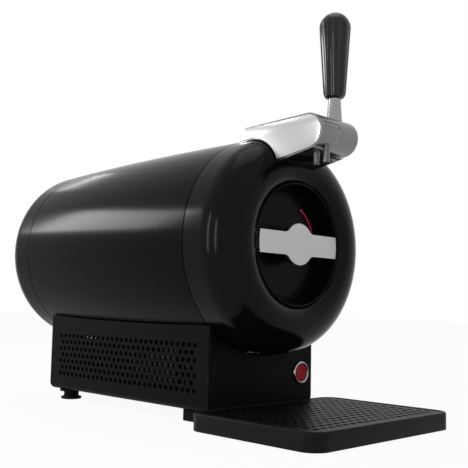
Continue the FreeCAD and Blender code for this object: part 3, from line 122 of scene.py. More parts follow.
class Graph:
    """The node tree of one material."""

    def __init__(self, name: str) -> None:
        """Makes an empty material.

        Args:
            name: the material's name.
        """
        self.material = bpy.data.materials.new(name)
        self.material.use_nodes = True
        self.tree = self.material.node_tree
        self.tree.nodes.clear()

    def node(self, kind: str, settings: dict, inputs: dict, output: object = 0) -> Wire:
        """Adds any node.

        Args:
            kind: the node's type name.
            settings: attributes that are set first; "stops" fills a colour ramp.
            inputs: numbers, colours or wires by input name or place.
            output: name or place of the output wanted.

        Returns:
            That output as a wire.
        """
        node = self.tree.nodes.new(kind)
        for key, value in settings.items():
            if key == "stops":
                ramp = node.color_ramp
                while len(ramp.elements) < len(value):
                    ramp.elements.new(0.5)
                for element, (place, colour) in zip(ramp.elements, value):
                    element.position = place
                    element.color = colour
            else:
                setattr(node, key, value)
        for key, value in inputs.items():
            if isinstance(value, Wire):
                self.tree.links.new(value.socket, node.inputs[key])
            else:
                node.inputs[key].default_value = value
        return Wire(self, node.outputs[output])

    def coordinates(self, scale: Sequence[float] = (1.0, 1.0, 1.0)) -> Wire:
        """Object coordinates in metres, stretched along the axes."""
        place = self.node("ShaderNodeTexCoord", {}, {}, "Object")
        return self.node("ShaderNodeMapping", {}, {"Vector": place, "Scale": tuple(scale)})

    def noise(self, scale: float, detail: float = 2.0, stretch: Sequence[float] = (1.0, 1.0, 1.0)) -> Wire:
        """Smooth noise between 0 and 1.

        Args:
            scale: waves per metre.
            detail: octaves.
            stretch: how the pattern is squeezed along each axis.

        Returns:
            The noise value.
        """
        return self.node(
            "ShaderNodeTexNoise", {}, {"Vector": self.coordinates(stretch), "Scale": scale, "Detail": detail}
        )

    def shade(self, low: Colour, high: Colour, factor: Wire) -> Wire:
        """A colour between two, by a factor."""
        return self.node("ShaderNodeValToRGB", {"stops": [(0.0, low), (1.0, high)]}, {0: factor})

    def bump(self, height: Wire, strength: float, distance: float) -> Wire:
        """A normal that follows a height."""
        return self.node(
            "ShaderNodeBump", {}, {"Height": height, "Strength": strength, "Distance": distance}
        )

    def finish(self, surface: Wire) -> bpy.types.Material:
        """Wires the surface to the output and returns the material."""
        output = self.tree.nodes.new("ShaderNodeOutputMaterial")
        self.tree.links.new(surface.socket, output.inputs["Surface"])
        return self.material


def grey(level: float) -> Colour:
    """A neutral colour."""
    return (level, level, level * 1.02, 1.0)


@dataclass(frozen=True)
class Finish:
    """A surface: two close colours that a slow noise blends, a roughness range and fine relief."""

    name: str
    low: Colour
    high: Colour
    rough: Point = (0.2, 0.3)
    metal: float = 0.0
    coat: float = 0.0
    coat_rough: float = 0.05
    specular: float = 0.5
    patch_scale: float = 18.0
    grain_scale: float = 900.0
    grain_height: float = 0.00002
    grain_strength: float = 0.2
    stretch: tuple[float, float, float] = (1.0, 1.0, 1.0)
    glow: Colour | None = None
    glow_strength: float = 0.0

    def build(self) -> bpy.types.Material:
        """Makes the material.

        Returns:
            The finished material.
        """
        graph = Graph(self.name)
        patch = graph.noise(self.patch_scale, 3.0, self.stretch)
        grain = graph.noise(self.grain_scale, 2.0, self.stretch)
        blend = (patch * PATCH_SHARE + grain * GRAIN_SHARE).clipped()
        span = self.rough[1] - self.rough[0]
        inputs = {
            "Base Color": graph.shade(self.low, self.high, blend),
            "Roughness": blend * span + self.rough[0],
            "Metallic": self.metal,
            "Coat Weight": self.coat,
            "Coat Roughness": self.coat_rough,
            "Specular IOR Level": self.specular,
            "Normal": graph.bump(grain, self.grain_strength, self.grain_height),
        }
        if self.glow is not None:
            inputs["Emission Color"] = self.glow
            inputs["Emission Strength"] = self.glow_strength
        return graph.finish(graph.node("ShaderNodeBsdfPrincipled", {}, inputs))


FINISHES = {
    "shell_black": Finish("shell_gloss_black", grey(0.002), grey(0.004), (0.15, 0.20), specular=0.04,
                          patch_scale=9, grain_scale=260, grain_height=0.00002),
    "ring_black": Finish("ring_gloss_black", grey(0.002), grey(0.004), (0.13, 0.18), specular=0.08,
                         patch_scale=11, grain_scale=260, grain_height=0.00002),
    "base_black": Finish("base_satin_black", grey(0.003), grey(0.005), (0.40, 0.50), specular=0.03,
                         patch_scale=14, grain_scale=1400, grain_height=0.00004, grain_strength=0.3),
    "tray_black": Finish("tray_satin_black", grey(0.007), grey(0.010), (0.40, 0.50), specular=0.06,
                         patch_scale=16, grain_scale=1300, grain_height=0.00004, grain_strength=0.3),
    "grille_black": Finish("grille_satin_black", grey(0.002), grey(0.004), (0.36, 0.46), specular=0.04,
                           patch_scale=20, grain_scale=1200, grain_height=0.00003),
    "dish_black": Finish("dish_dark_plastic", grey(0.0012), grey(0.0022), (0.24, 0.33), specular=0.05,
                         patch_scale=22, grain_scale=700, grain_height=0.00002),
    "handle_silver": Finish("handle_satin_silver", grey(0.40), grey(0.48), (0.38, 0.46), metal=0.9,
                            patch_scale=26, grain_scale=900, stretch=(0.15, 1.0, 2.5), grain_height=0.00002),
    "handle_black": Finish("handle_satin_black", grey(0.002), grey(0.004), (0.30, 0.40), specular=0.10),
    "tap_silver": Finish("tap_satin_silver", grey(0.44), grey(0.54), (0.32, 0.40), metal=1.0,
                         patch_scale=20, grain_scale=1100, stretch=(1.0, 0.25, 1.0), grain_height=0.00002),
    # barrel_silver: the same silver as the other silver finishes, painted much darker; the dark colour is a
    # painted dark reflection of the surroundings, not a darker metal
    "barrel_silver": Finish("barrel_silver_painted_dark_reflection", grey(0.15), grey(0.20), (0.24, 0.32), metal=1.0,
                            patch_scale=20, grain_scale=1100, stretch=(0.25, 1.0, 1.0), grain_height=0.00002),
    "plate_silver": Finish("plate_pale_satin", grey(0.44), grey(0.52), (0.20, 0.26), metal=1.0,
                           patch_scale=20, grain_scale=1100, stretch=(1.0, 0.25, 1.0), grain_height=0.00002),
    "chrome": Finish("polished_chrome", grey(0.24), grey(0.32), (0.14, 0.20), metal=1.0,
                     patch_scale=40, grain_scale=1600, grain_height=0.000008, grain_strength=0.1),
    "jaw_black": Finish("jaw_gloss_black", grey(0.002), grey(0.004), (0.16, 0.24), specular=0.16),
    "grip_black": Finish("grip_lacquer_black", grey(0.002), grey(0.004), (0.12, 0.18), specular=0.30,
                         grain_scale=500, grain_height=0.00001, grain_strength=0.1),
    "slot_silver": Finish("release_bright_metal", grey(0.30), grey(0.36), (0.22, 0.3), metal=1.0),
    "nozzle_grey": Finish("nozzle_smoke_plastic", grey(0.07), grey(0.11), (0.16, 0.24), coat=0.3),
    "light_red": Finish("status_light_red", (0.20, 0.0, 0.02, 1), (0.30, 0.0, 0.03, 1), (0.3, 0.4),
                        glow=(0.75, 0.0, 0.06, 1), glow_strength=0.22),
    "button_red": Finish("button_lacquer_red", (0.30, 0.000, 0.002, 1), (0.38, 0.001, 0.004, 1),
                         (0.20, 0.28), specular=0.08, grain_scale=400, grain_height=0.00001),
    "steel": Finish("plain_steel", grey(0.45), grey(0.58), (0.3, 0.42), metal=1.0, stretch=(1, 1, 0.2)),
    "rubber": Finish("foot_rubber", grey(0.004), grey(0.009), (0.65, 0.8), specular=0.1,
                     grain_scale=1500, grain_height=0.00008),
    "foam": Finish("insulating_foam", (0.62, 0.60, 0.50, 1), (0.74, 0.72, 0.62, 1), (0.8, 0.95),
                   specular=0.2, grain_scale=420, grain_height=0.0004, grain_strength=0.5),
    "liner_grey": Finish("liner_moulded_grey", grey(0.16), grey(0.22), (0.4, 0.52), specular=0.4),
    "cooler_metal": Finish("cooler_milled_metal", grey(0.52), grey(0.66), (0.26, 0.38), metal=1.0,
                           stretch=(1, 0.1, 1)),
    "module_white": Finish("module_ceramic", grey(0.74), grey(0.84), (0.5, 0.6)),
    "inner_black": Finish("inner_moulded_black", grey(0.006), grey(0.012), (0.45, 0.58), specular=0.15),
    "board_green": Finish("board_lacquer_green", (0.01, 0.11, 0.04, 1), (0.02, 0.17, 0.06, 1), (0.3, 0.45)),
}


class Wardrobe:
    """Builds each material once and puts it on pieces."""

    def __init__(self) -> None:
        """Starts with no materials."""
        self.made: dict[str, bpy.types.Material] = {}

    def material(self, finish: str) -> bpy.types.Material:
        """The material of a finish, made on first use."""
        if finish not in self.made:
            self.made[finish] = FINISHES[finish].build()
        return self.made[finish]

    def dress(self, piece: bpy.types.Object, finish: str) -> None:
        """Gives a piece one finish all over."""
        piece.data.materials.clear()
        piece.data.materials.append(self.material(finish))


WARDROBE = Wardrobe()


# Modelling helpers


def deselect() -> None:
    """Deselects every object."""
    bpy.ops.object.select_all(action="DESELECT")


def edit(piece: bpy.types.Object) -> None:
    """Selects one piece alone and opens it in edit mode."""
    deselect()
    piece.select_set(True)
    bpy.context.view_layer.objects.active = piece
    bpy.ops.object.mode_set(mode="EDIT")


def close_edit() -> None:
    """Leaves edit mode."""
    bpy.ops.object.mode_set(mode="OBJECT")


def apply_modifier(piece: bpy.types.Object, kind: str, **settings: object) -> None:
    """Adds a modifier with its settings and applies it.

    Args:
        piece: the object.
        kind: the modifier's type.
        settings: its attributes.
    """
    modifier = piece.modifiers.new(kind.title(), kind)
    for key, value in settings.items():
        setattr(modifier, key, value)
    deselect()
    piece.select_set(True)
    bpy.context.view_layer.objects.active = piece
    bpy.ops.object.modifier_apply(modifier=modifier.name)


def smooth(piece: bpy.types.Object, angle: float = 32.0) -> None:
    """Smooth shading with hard edges kept above an angle in degrees."""
    deselect()
    piece.select_set(True)
    bpy.context.view_layer.objects.active = piece
    bpy.ops.object.shade_smooth_by_angle(angle=math.radians(angle))


def settle(piece: bpy.types.Object, body: str, finish: str,
           stands_for: Sequence[str] = ()) -> None:
    """Puts a piece's place in its mesh, dresses it and hangs it on its body.

    Args:
        piece: the object.
        body: the body that it moves with.
        finish: the finish it wears.
        stands_for: the CAD nodes that it replaces.
    """
    deselect()
    piece.select_set(True)
    bpy.context.view_layer.objects.active = piece
    bpy.ops.object.transform_apply(location=True, rotation=True, scale=True)
    WARDROBE.dress(piece, finish)
    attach(piece, body)
    if stands_for:
        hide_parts(*stands_for)
    log.info("%s: %d faces on %s", piece.name, len(piece.data.polygons), body)


def arc(centre: Point, radius: float, start: float, end: float, steps: int) -> list[Point]:
    """Points on an arc.

    Args:
        centre: the arc's middle.
        radius: its radius.
        start: first angle in degrees.
        end: last angle in degrees.
        steps: how many pieces the arc has.

    Returns:
        steps + 1 points.
    """
    points = []
    for index in range(steps + 1):
        angle = math.radians(start + (end - start) * index / steps)
        points.append((centre[0] + radius * math.cos(angle), centre[1] + radius * math.sin(angle)))
    return points


def outline_edges(name: str, points: Sequence[Vector], closed: bool) -> bpy.types.Object:
    """A chain of edges drawn by extruding one corner of a small plane.

    Args:
        name: the new object's name.
        points: where the chain goes, in metres.
        closed: whether it returns to its start.

    Returns:
        The object, left in edit mode with the whole chain selected.
    """
    deselect()
    bpy.ops.mesh.primitive_plane_add(size=0.001, location=points[0])
    piece = bpy.context.object
    piece.name = name
    bpy.ops.object.transform_apply(location=True, rotation=True, scale=True)
    edit(piece)
    bpy.ops.mesh.select_all(action="SELECT")
    bpy.ops.mesh.merge(type="CENTER")
    chain = [*points, points[0]] if closed else list(points)
    for first, last in zip(chain, chain[1:]):
        bpy.ops.mesh.extrude_region_move(TRANSFORM_OT_translate={"value": last - first})
    bpy.ops.mesh.select_all(action="SELECT")
    bpy.ops.mesh.remove_doubles(threshold=CHAIN_MERGE)
    return piece


def lathe(name: str, axis: Axis, at: Vector, profile: Sequence[Point], steps: int = 128) -> bpy.types.Object:
    """Spins a profile about an axis.

    Args:
        name: the new object's name.
        axis: the line it turns about.
        at: a point on that line, in metres.
        profile: (along the axis, radius) in millimetres.
        steps: how many steps a turn has.

    Returns:
        The closed, smooth piece in object mode.
    """
    along = Vector(axis.value)
    out = Vector((1, 0, 0)) if axis is Axis.Z else Vector((0, 0, 1))
    points = [at + (along * a + out * r) * MM for a, r in profile]
    solid_core = profile[0][1] == 0 and profile[-1][1] == 0
    piece = outline_edges(name, points, not solid_core)
    bpy.ops.mesh.spin(steps=steps, angle=math.tau, center=at, axis=along)
    bpy.ops.mesh.select_all(action="SELECT")
    bpy.ops.mesh.remove_doubles(threshold=LATHE_MERGE)
    bpy.ops.mesh.normals_make_consistent(inside=False)
    close_edit()
    smooth(piece, 34)
    return piece


def slab(name: str, corners: Sequence[Point], low: float, thickness: float, at: Vector) -> bpy.types.Object:
    """A flat outline in X and Z, given a thickness along +Y.

    Args:
        name: the new object's name.
        corners: (x, z) in millimetres round the outline.
        low: where its front face lies along Y, from the point at, in millimetres.
        thickness: how deep it is, in millimetres.
        at: the origin of the corners, in metres.

    Returns:
        The closed piece in object mode.
    """
    points = [at + Vector((x, low, z)) * MM for x, z in corners]
    piece = outline_edges(name, points, True)
    bpy.ops.mesh.edge_face_add()
    bpy.ops.mesh.extrude_region_move(TRANSFORM_OT_translate={"value": (0, thickness * MM, 0)})
    bpy.ops.mesh.select_all(action="SELECT")
    bpy.ops.mesh.normals_make_consistent(inside=False)
    close_edit()
    return piece


def refined(node: str, name: str, width: float, segments: int = 2, angle: float = 32.0,
            dissolve: float = 1.5) -> bpy.types.Object:
    """A copy of a CAD node with joined faces and softly rounded edges.

    Args:
        node: the CAD node.
        name: the new object's name.
        width: how wide the rounding is, in millimetres.
        segments: how many steps it has.
        angle: edges sharper than this are rounded, in degrees.
        dissolve: faces flatter than this to each other are joined, in degrees.

    Returns:
        The new piece.
    """
    piece = bpy.data.objects.new(name, frame["nodes"][node].data.copy())
    bpy.context.scene.collection.objects.link(piece)
    edit(piece)
    bpy.ops.mesh.select_all(action="SELECT")
    bpy.ops.mesh.remove_doubles(threshold=COPY_MERGE)
    bpy.ops.mesh.dissolve_limited(angle_limit=math.radians(dissolve))
    close_edit()
    if width > 0:
        apply_modifier(piece, "BEVEL", width=width * MM, segments=segments, limit_method="ANGLE",
                       angle_limit=math.radians(angle), use_clamp_overlap=True, miter_outer="MITER_ARC",
                       harden_normals=False)
    smooth(piece, 30)
    return piece


# The object


def drum_radius(at: float) -> float:
    """Outer radius of the drum in millimetres, at a place along it."""
    return BELLY_RADIUS - (at - BELLY_AT) ** 2 / BELLY_FLATNESS


@dataclass
class Drum:
    """The long shell, the round front ring and the domed rear cap."""

    wall: float = 3.4
    seam_edge: float = 0.4
    front_seam: float = 6.0
    rear_seam: float = 305.0
    seam_gap: float = 0.8
    shoulder_at: float = -18.0
    shoulder_radius: float = 34.0
    rear_shoulder_at: float = 330.0
    rear_radius: float = 35.0
    front_spigot: Point = (107.4, 110.2)
    rear_spigot: Point = (102.5, 106.8)
    rim_radius: float = 65.4
    rim_at: float = -46.0
    throat_radius: float = 59.7
    throat_depth: float = 22.0
    stop_radius: float = 54.0
    hinge_x: float = -67.2
    hinge_y: float = -47.2
    pocket_y: float = -48.5
    pocket_size: tuple[float, float, float] = (6.8, 10.6, 16.8)
    lug_middle: float = 6.2
    steps: int = 224
    at: Vector = field(default_factory=lambda: Vector((0, FRONT_Y, DRUM_Z)))

    def side(self, first: float, last: float, count: int) -> list[Point]:
        """Points along the drum's bulged side."""
        return [
            (first + (last - first) * index / count, drum_radius(first + (last - first) * index / count))
            for index in range(count + 1)
        ]

    def shell(self) -> None:
        """The middle tube between the two seams."""
        low, high = self.front_seam + self.seam_gap / 2, self.rear_seam - self.seam_gap / 2
        edge = self.seam_edge
        profile = [(low, drum_radius(low) - self.wall), (low, drum_radius(low) - edge)]
        profile += self.side(low + edge, high - edge, 44)
        profile += [(high, drum_radius(high) - edge), (high, drum_radius(high) - self.wall)]
        piece = lathe("drum_skin", Axis.Y, self.at, profile, self.steps)
        settle(piece, "housing", "shell_black", ["drum_shell"])

    def ring(self) -> None:
        """The front ring: barrel, round shoulder, rolled lip and throat."""
        seam = self.front_seam - self.seam_gap / 2
        edge = drum_radius(self.shoulder_at)
        crown = edge - self.shoulder_radius
        front = self.shoulder_at - self.shoulder_radius
        rise, width = self.rim_at - front, crown - self.rim_radius
        lip = (width ** 2 + rise ** 2) / (2 * rise)
        sweep = math.degrees(math.asin(width / lip))
        inner, outer = self.front_spigot
        profile = [(14.0, inner), (14.0, outer), (seam, outer), (seam, drum_radius(seam) - self.seam_edge)]
        profile += self.side(seam - self.seam_edge, self.shoulder_at + 1, 6)
        profile += arc((self.shoulder_at, crown), self.shoulder_radius, 90, 180, 30)
        profile += arc((front + lip, crown), lip, 180, 180 + sweep - 3, 12)[1:]
        profile += [(self.rim_at + 0.15, self.rim_radius + 0.25), (self.rim_at + 0.7, self.rim_radius - 0.1)]
        throat_end = self.rim_at + self.throat_depth
        profile += [
            (throat_end, self.throat_radius),
            (throat_end + 2.3, self.throat_radius),
            (throat_end + 2.3, self.stop_radius),
            (throat_end + 5.3, self.stop_radius),
            (throat_end + 5.3, 62.6),
            (self.rim_at + 5.4, 69.0),
            (front + 3.6, crown),
        ]
        profile += arc((self.shoulder_at, crown), self.shoulder_radius - self.wall, 175, 92, 12)
        profile += [(-9.0, inner)]
        piece = lathe("front_ring", Axis.Y, self.at, profile, self.steps)
        self.open_hinge_pocket(piece)
        settle(piece, "housing", "ring_black", ["front_bezel"])

    def open_hinge_pocket(self, piece: bpy.types.Object) -> None:
        """Cuts the small pocket for the door hinge and puts its two lugs in."""
        deselect()
        bpy.ops.mesh.primitive_cube_add(size=1, scale=Vector(self.pocket_size) * MM,
                                        location=self.at + Vector((self.hinge_x, self.pocket_y, 0)) * MM)
        tool = bpy.context.object
        apply_modifier(tool, "BEVEL", width=0.6 * MM, segments=2)
        apply_modifier(piece, "BOOLEAN", operation="DIFFERENCE", object=tool, solver="EXACT")
        bpy.data.objects.remove(tool)
        smooth(piece, 34)
        for side in (-1, 1):
            middle = self.lug_middle * side
            profile = [(middle - 2.2, 1.25), (middle - 2.2, 2.3), (middle - 1.9, 2.6), (middle + 1.9, 2.6),
                       (middle + 2.2, 2.3), (middle + 2.2, 1.25)]
            lug = lathe(f"hinge_lug_{'upper' if side > 0 else 'lower'}", Axis.Z,
                        self.at + Vector((self.hinge_x, self.hinge_y, 0)) * MM, profile, 32)
            settle(lug, "housing", "ring_black")

    def cap(self) -> None:
        """The domed rear end."""
        seam = self.rear_seam + self.seam_gap / 2
        edge = drum_radius(self.rear_shoulder_at)
        crown = edge - self.rear_radius
        end = self.rear_shoulder_at + self.rear_radius
        inner, outer = self.rear_spigot
        profile = [(seam - 8, inner), (seam - 8, outer), (seam, outer)]
        profile += [(seam, drum_radius(seam) - self.seam_edge)]
        profile += self.side(seam + self.seam_edge, self.rear_shoulder_at - 1, 6)
        profile += arc((self.rear_shoulder_at, crown), self.rear_radius, 90, 0, 28)
        profile += [(end, 30.0), (end, 0.0), (end - self.wall, 0.0), (end - self.wall, crown)]
        profile += arc((self.rear_shoulder_at, crown), self.rear_radius - self.wall, 4, 86, 12)
        profile += [(seam + 6, inner)]
        piece = lathe("rear_dome", Axis.Y, self.at, profile, self.steps)
        settle(piece, "housing", "shell_black", ["rear_cap"])

    def build(self) -> None:
        """Builds the three pieces."""
        self.shell()
        self.ring()
        self.cap()


@dataclass
class Door:
    """The deep dish, its handle and the small red light."""

    rim: float = 64.4
    rim_at: float = -46.0
    back: float = -24.0
    floor_at: float = -27.0
    floor_radius: float = 56.6
    light_radius: float = 46.7
    light_span: Point = (21, 57)
    plate_front: float = -47.5
    plate_thick: float = 3.0
    body_deep: float = 8.0
    at: Vector = field(default_factory=lambda: Vector((0, FRONT_Y, DRUM_Z)))

    def dish(self) -> None:
        """The dish with a rolled rim and a fine bead round its floor."""
        profile = [
            (self.back, 0.0), (self.back, 58.4), (self.back - 0.4, 58.75),
            (self.rim_at + 0.6, self.rim - 0.1), (self.rim_at + 0.15, self.rim - 0.35),
            (self.rim_at, self.rim - 0.8), (self.rim_at, self.rim - 1.5),
            (self.rim_at + 0.4, self.rim - 2.0), (self.floor_at - 2.0, self.floor_radius + 0.62),
            (self.floor_at - 0.9, self.floor_radius + 0.1), (self.floor_at - 0.35, self.floor_radius - 0.5),
            (self.floor_at - 0.3, self.floor_radius - 1.4), (self.floor_at - 0.75, self.floor_radius - 1.8),
            (self.floor_at - 0.75, self.floor_radius - 2.4), (self.floor_at, self.floor_radius - 3.0),
            (self.floor_at, 30.0), (self.floor_at, 0.0),
        ]
        piece = lathe("door_bowl", Axis.Y, self.at, profile, 192)
        settle(piece, "door", "dish_black", ["door_dish"])

    def handle_points(self, inset: float) -> list[Point]:
        """The handle's outline, drawn in by an inset, in millimetres."""
        half, height = 60.5 - 2 * inset, 11.75 - inset
        disc, blend = 21.7 - inset, 9.0 + inset
        end = math.degrees(math.asin(height / half))
        blend_x = math.sqrt((disc + blend) ** 2 - (height + blend) ** 2)
        turn = math.degrees(math.atan2(height + blend, blend_x))
        points = arc((0, 0), half, -end, end, 8)
        points += arc((blend_x, height + blend), blend, 270, 180 + turn, 8)
        points += arc((0, 0), disc, turn, 180 - turn, 32)[1:]
        points += arc((-blend_x, height + blend), blend, -turn, -90, 8)[1:]
        return points + [(-x, -z) for x, z in points]

    def handle(self) -> None:
        """The satin plate with a soft edge and the black body behind it."""
        plate = slab("handle_face", self.handle_points(0.0), self.plate_front, self.plate_thick, self.at)
        apply_modifier(plate, "BEVEL", width=0.55 * MM, segments=3, limit_method="ANGLE",
                       angle_limit=math.radians(40))
        smooth(plate, 40)
        settle(plate, "handle", "handle_silver", ["handle_plate"])
        body_front = self.plate_front + self.plate_thick
        body = slab("handle_back", self.handle_points(2.0), body_front, self.body_deep, self.at)
        apply_modifier(body, "BEVEL", width=1.2 * MM, segments=3, limit_method="ANGLE",
                       angle_limit=math.radians(40))
        smooth(body, 40)
        settle(body, "handle", "handle_black")
        profile = [(-40.0, 0.0), (-40.0, 15.0), (-39.0, 16.0), (-28.4, 16.0), (-27.3, 17.0), (-27.3, 0.0)]
        boss = lathe("handle_boss", Axis.Y, self.at, profile, 96)
        settle(boss, "handle", "handle_black", ["handle_body"])

    def on_light(self, angle: float, along: float) -> Vector:
        """A point on the light's arc, at an angle in radians and a place along Y in millimetres."""
        return self.at + Vector((self.light_radius * math.cos(angle), along,
                                 self.light_radius * math.sin(angle))) * MM

    def light(self) -> None:
        """A thin curved light with a dot at its upper end."""
        first, last = (math.radians(angle) for angle in self.light_span)
        place = self.on_light(first, -27.1)
        deselect()
        bpy.ops.mesh.primitive_circle_add(vertices=10, radius=0.62 * MM, location=place, fill_type="NGON",
                                          rotation=(0, -first, 0))
        piece = bpy.context.object
        piece.name = "status_light"
        bpy.ops.object.transform_apply(location=True, rotation=True, scale=True)
        edit(piece)
        bpy.ops.mesh.select_all(action="SELECT")
        bpy.ops.mesh.spin(steps=28, angle=last - first, center=self.at, axis=(0, 1, 0))
        bpy.ops.mesh.select_all(action="SELECT")
        bpy.ops.mesh.remove_doubles(threshold=COPY_MERGE)
        bpy.ops.mesh.normals_make_consistent(inside=False)
        close_edit()
        smooth(piece, 50)
        settle(piece, "door", "light_red", ["light_guide"])
        profile = [(-27.9, 0), (-27.8, 0.7), (-27.4, 1.25), (-26.6, 1.4), (-26.6, 0)]
        dot = lathe("status_dot", Axis.Y, self.on_light(last, 0), profile, 24)
        settle(dot, "door", "light_red")

    def build(self) -> None:
        """Builds the door's pieces."""
        self.dish()
        self.handle()
        self.light()


@dataclass
class Tap:
    """The arm with the barrel, the lever and the spout."""

    half: float = 30.25
    barrel: float = 17.7
    lever_x: float = 11.75
    grip_low: float = 39.9
    grip_high: float = 128.7
    grip_waist: float = 11.4
    grip_wide: float = 15.8
    waist_edge: float = 7.5
    waist_roll: float = 4.4
    flutes: int = 8
    flute_depth: float = 1.5
    flute_radius: float = 7.0
    spout_x: float = -13.5
    nozzle_y: float = 2.0
    guide_y: float = -10.5
    at: Vector = field(default_factory=lambda: TAP_AT.copy())

    def cover(self) -> None:
        """The satin arm with soft edges, and its two plates."""
        piece = refined("tap_cover", "tap_arm", 0.8, 3)
        # The arm wears barrel_silver, silver painted dark as a painted reflection
        settle(piece, "tap_cover", "barrel_silver", ["tap_cover"])
        for side in ("left", "right"):
            plate = refined(f"side_plate_{side}", f"arm_plate_{side}", 0.2, 2)
            settle(plate, "tap_cover", "plate_silver", [f"side_plate_{side}"])
        jaw = refined("tap_jaw", "tap_underside", 0.6, 2)
        settle(jaw, "housing", "jaw_black", ["tap_jaw"])
        button = refined("release_button", "release_bar", 0.35, 2)
        # The release bar wears barrel_silver, silver painted dark as a painted reflection
        settle(button, "release", "barrel_silver", ["release_button"])

    def hub(self) -> None:
        """The right half of the barrel with a round outer edge."""
        round_edge = 4.0
        profile = [(0.25, 0.0), (0.25, self.barrel - 0.3), (0.55, self.barrel)]
        profile += arc((self.half - round_edge, self.barrel - round_edge), round_edge, 90, 0, 10)
        profile += [(self.half, 6.0), (self.half - 0.5, 5.2), (self.half - 0.5, 0.0)]
        piece = lathe("lever_barrel", Axis.X, self.at, profile, 128)
        # The barrel wears barrel_silver, silver painted dark as a painted reflection
        settle(piece, "lever", "barrel_silver", ["lever_hub"])

    def stem(self) -> None:
        """The tapered bright stem."""
        profile = [(14.0, 0.0), (14.0, 7.9), (17.2, 7.9), (18.0, 7.75), (self.grip_low - 0.3, 6.3),
                   (self.grip_low, 6.0), (self.grip_low, 0.0)]
        piece = lathe("lever_rod", Axis.Z, self.at + Vector((self.lever_x, 0, 0)) * MM, profile, 64)
        settle(piece, "lever", "chrome", ["lever_stem"])

    def grip(self) -> None:
        """The long grip: a turned body with flutes cut by leaning rods, then soft ridges."""
        at = self.at + Vector((self.lever_x, 0, 0)) * MM
        low, high = self.grip_low, self.grip_high
        wide_z, waist_z = high - self.grip_wide, low + self.waist_edge
        profile = [(low, 0.0), (low, 7.0)]
        for degrees in range(-88, 1, 11):
            angle = math.radians(degrees)
            profile.append((waist_z + self.waist_edge * math.sin(angle),
                            self.grip_waist - self.waist_roll + self.waist_roll * math.cos(angle)))
        profile += arc((wide_z, 0), self.grip_wide, 90, 0, 20)
        piece = lathe("lever_handle", Axis.Z, at, profile, 160)
        slope = math.atan2(self.grip_wide - self.grip_waist, wide_z - waist_z)
        for index in range(self.flutes):
            angle = math.tau * (index + 0.5) / self.flutes
            middle_z = (wide_z + waist_z) / 2
            spread = (self.grip_wide + self.grip_waist) / 2 + (self.flute_radius - self.flute_depth)
            deselect()
            bpy.ops.mesh.primitive_cylinder_add(
                vertices=64, radius=self.flute_radius * MM, depth=110 * MM,
                location=at + Vector((spread * math.cos(angle), spread * math.sin(angle), middle_z)) * MM,
                rotation=(0, slope, angle),
            )
            tool = bpy.context.object
            apply_modifier(piece, "BOOLEAN", operation="DIFFERENCE", object=tool, solver="EXACT")
            bpy.data.objects.remove(tool)
        apply_modifier(piece, "BEVEL", width=0.35 * MM, segments=2, limit_method="ANGLE",
                       angle_limit=math.radians(24), use_clamp_overlap=True)
        smooth(piece, 42)
        settle(piece, "lever", "grip_black", ["lever_grip"])

    def spout(self) -> None:
        """The tapered nozzle with its small rim, and the straight guide in front of it."""
        nozzle_at = self.at + Vector((self.spout_x, self.nozzle_y, 0)) * MM
        profile = [(-14.0, 1.5), (-14.0, 3.6), (-17.7, 3.6), (-28.6, 2.5), (-29.2, 2.9), (-30.2, 2.9),
                   (-30.5, 2.6), (-30.5, 1.5)]
        piece = lathe("pour_nozzle", Axis.Z, nozzle_at, profile, 48)
        settle(piece, "tap_cover", "nozzle_grey", ["spout_nozzle"])
        guide_at = self.at + Vector((self.spout_x, self.guide_y, 0)) * MM
        profile = [(-10.0, 0.0), (-10.0, 3.15), (-28.2, 3.15), (-28.4, 3.45), (-29.3, 3.45), (-29.7, 3.1),
                   (-29.7, 2.1), (-24.0, 2.1), (-24.0, 0.0)]
        piece = lathe("pour_guide", Axis.Z, guide_at, profile, 48)
        settle(piece, "tap_cover", "nozzle_grey", ["spout_guide"])

    def build(self) -> None:
        """Builds the tap's pieces."""
        self.cover()
        self.hub()
        self.stem()
        self.grip()
        self.spout()


@dataclass
class Base:
    """The ventilated base's panels, plinth and button."""

    button_at: Vector = field(default_factory=lambda: Vector((60 * MM, FRONT_Y, 46 * MM)))

    def panels(self) -> None:
        """The panels and the plinth with softened edges."""
        for node in ("front_panel", "rear_panel"):
            piece = refined(node, f"base_{node}", 0.0)
            settle(piece, "housing", "base_black", [node])
        piece = refined("front_plinth", "base_plinth", 0.6, 2)
        settle(piece, "housing", "base_black", ["front_plinth"])

    def button(self) -> None:
        """The bright ring and the dished red button."""
        profile = [(4.0, 9.8), (4.0, 10.9), (0.0, 10.9), (0.0, 12.5), (-0.6, 12.5), (-1.2, 12.1),
                   (-1.6, 11.4), (-1.8, 10.8), (-1.6, 10.2), (-1.1, 9.8)]
        ring = lathe("button_ring", Axis.Y, self.button_at, profile, 96)
        settle(ring, "housing", "chrome", ["button_bezel"])
        profile = [(10.2, 0.0), (10.2, 3.0), (4.2, 3.0), (4.2, 9.5), (-0.7, 9.5), (-1.1, 9.2), (-1.2, 8.7),
                   (-0.9, 6.5), (-0.7, 3.5), (-0.65, 0.0)]
        cap = lathe("button_cap", Axis.Y, self.button_at, profile, 96)
        settle(cap, "power_button", "button_red", ["power_button"])

    def build(self) -> None:
        """Builds the base's pieces."""
        self.panels()
        self.button()


@dataclass
class Tray:
    """The loose drip tray."""

    def build(self) -> None:
        """The tray with soft edges; its grille stays as it is."""
        piece = refined("drip_tray", "tray_body", 0.5, 2, angle=40)
        settle(piece, "tray", "tray_black", ["drip_tray"])


def dress_nodes() -> None:
    """Gives every CAD node the finish of its slot."""
    slots = {entry["node"]: entry["material_slot"] for entry in frame["record"]["subparts"]}
    slots |= {"door_hinge_pin": "inner_black", "door_hinge_leaf": "dish_black"}
    for name, node in frame["nodes"].items():
        WARDROBE.dress(node, slots.get(name, "inner_black"))


# The studio


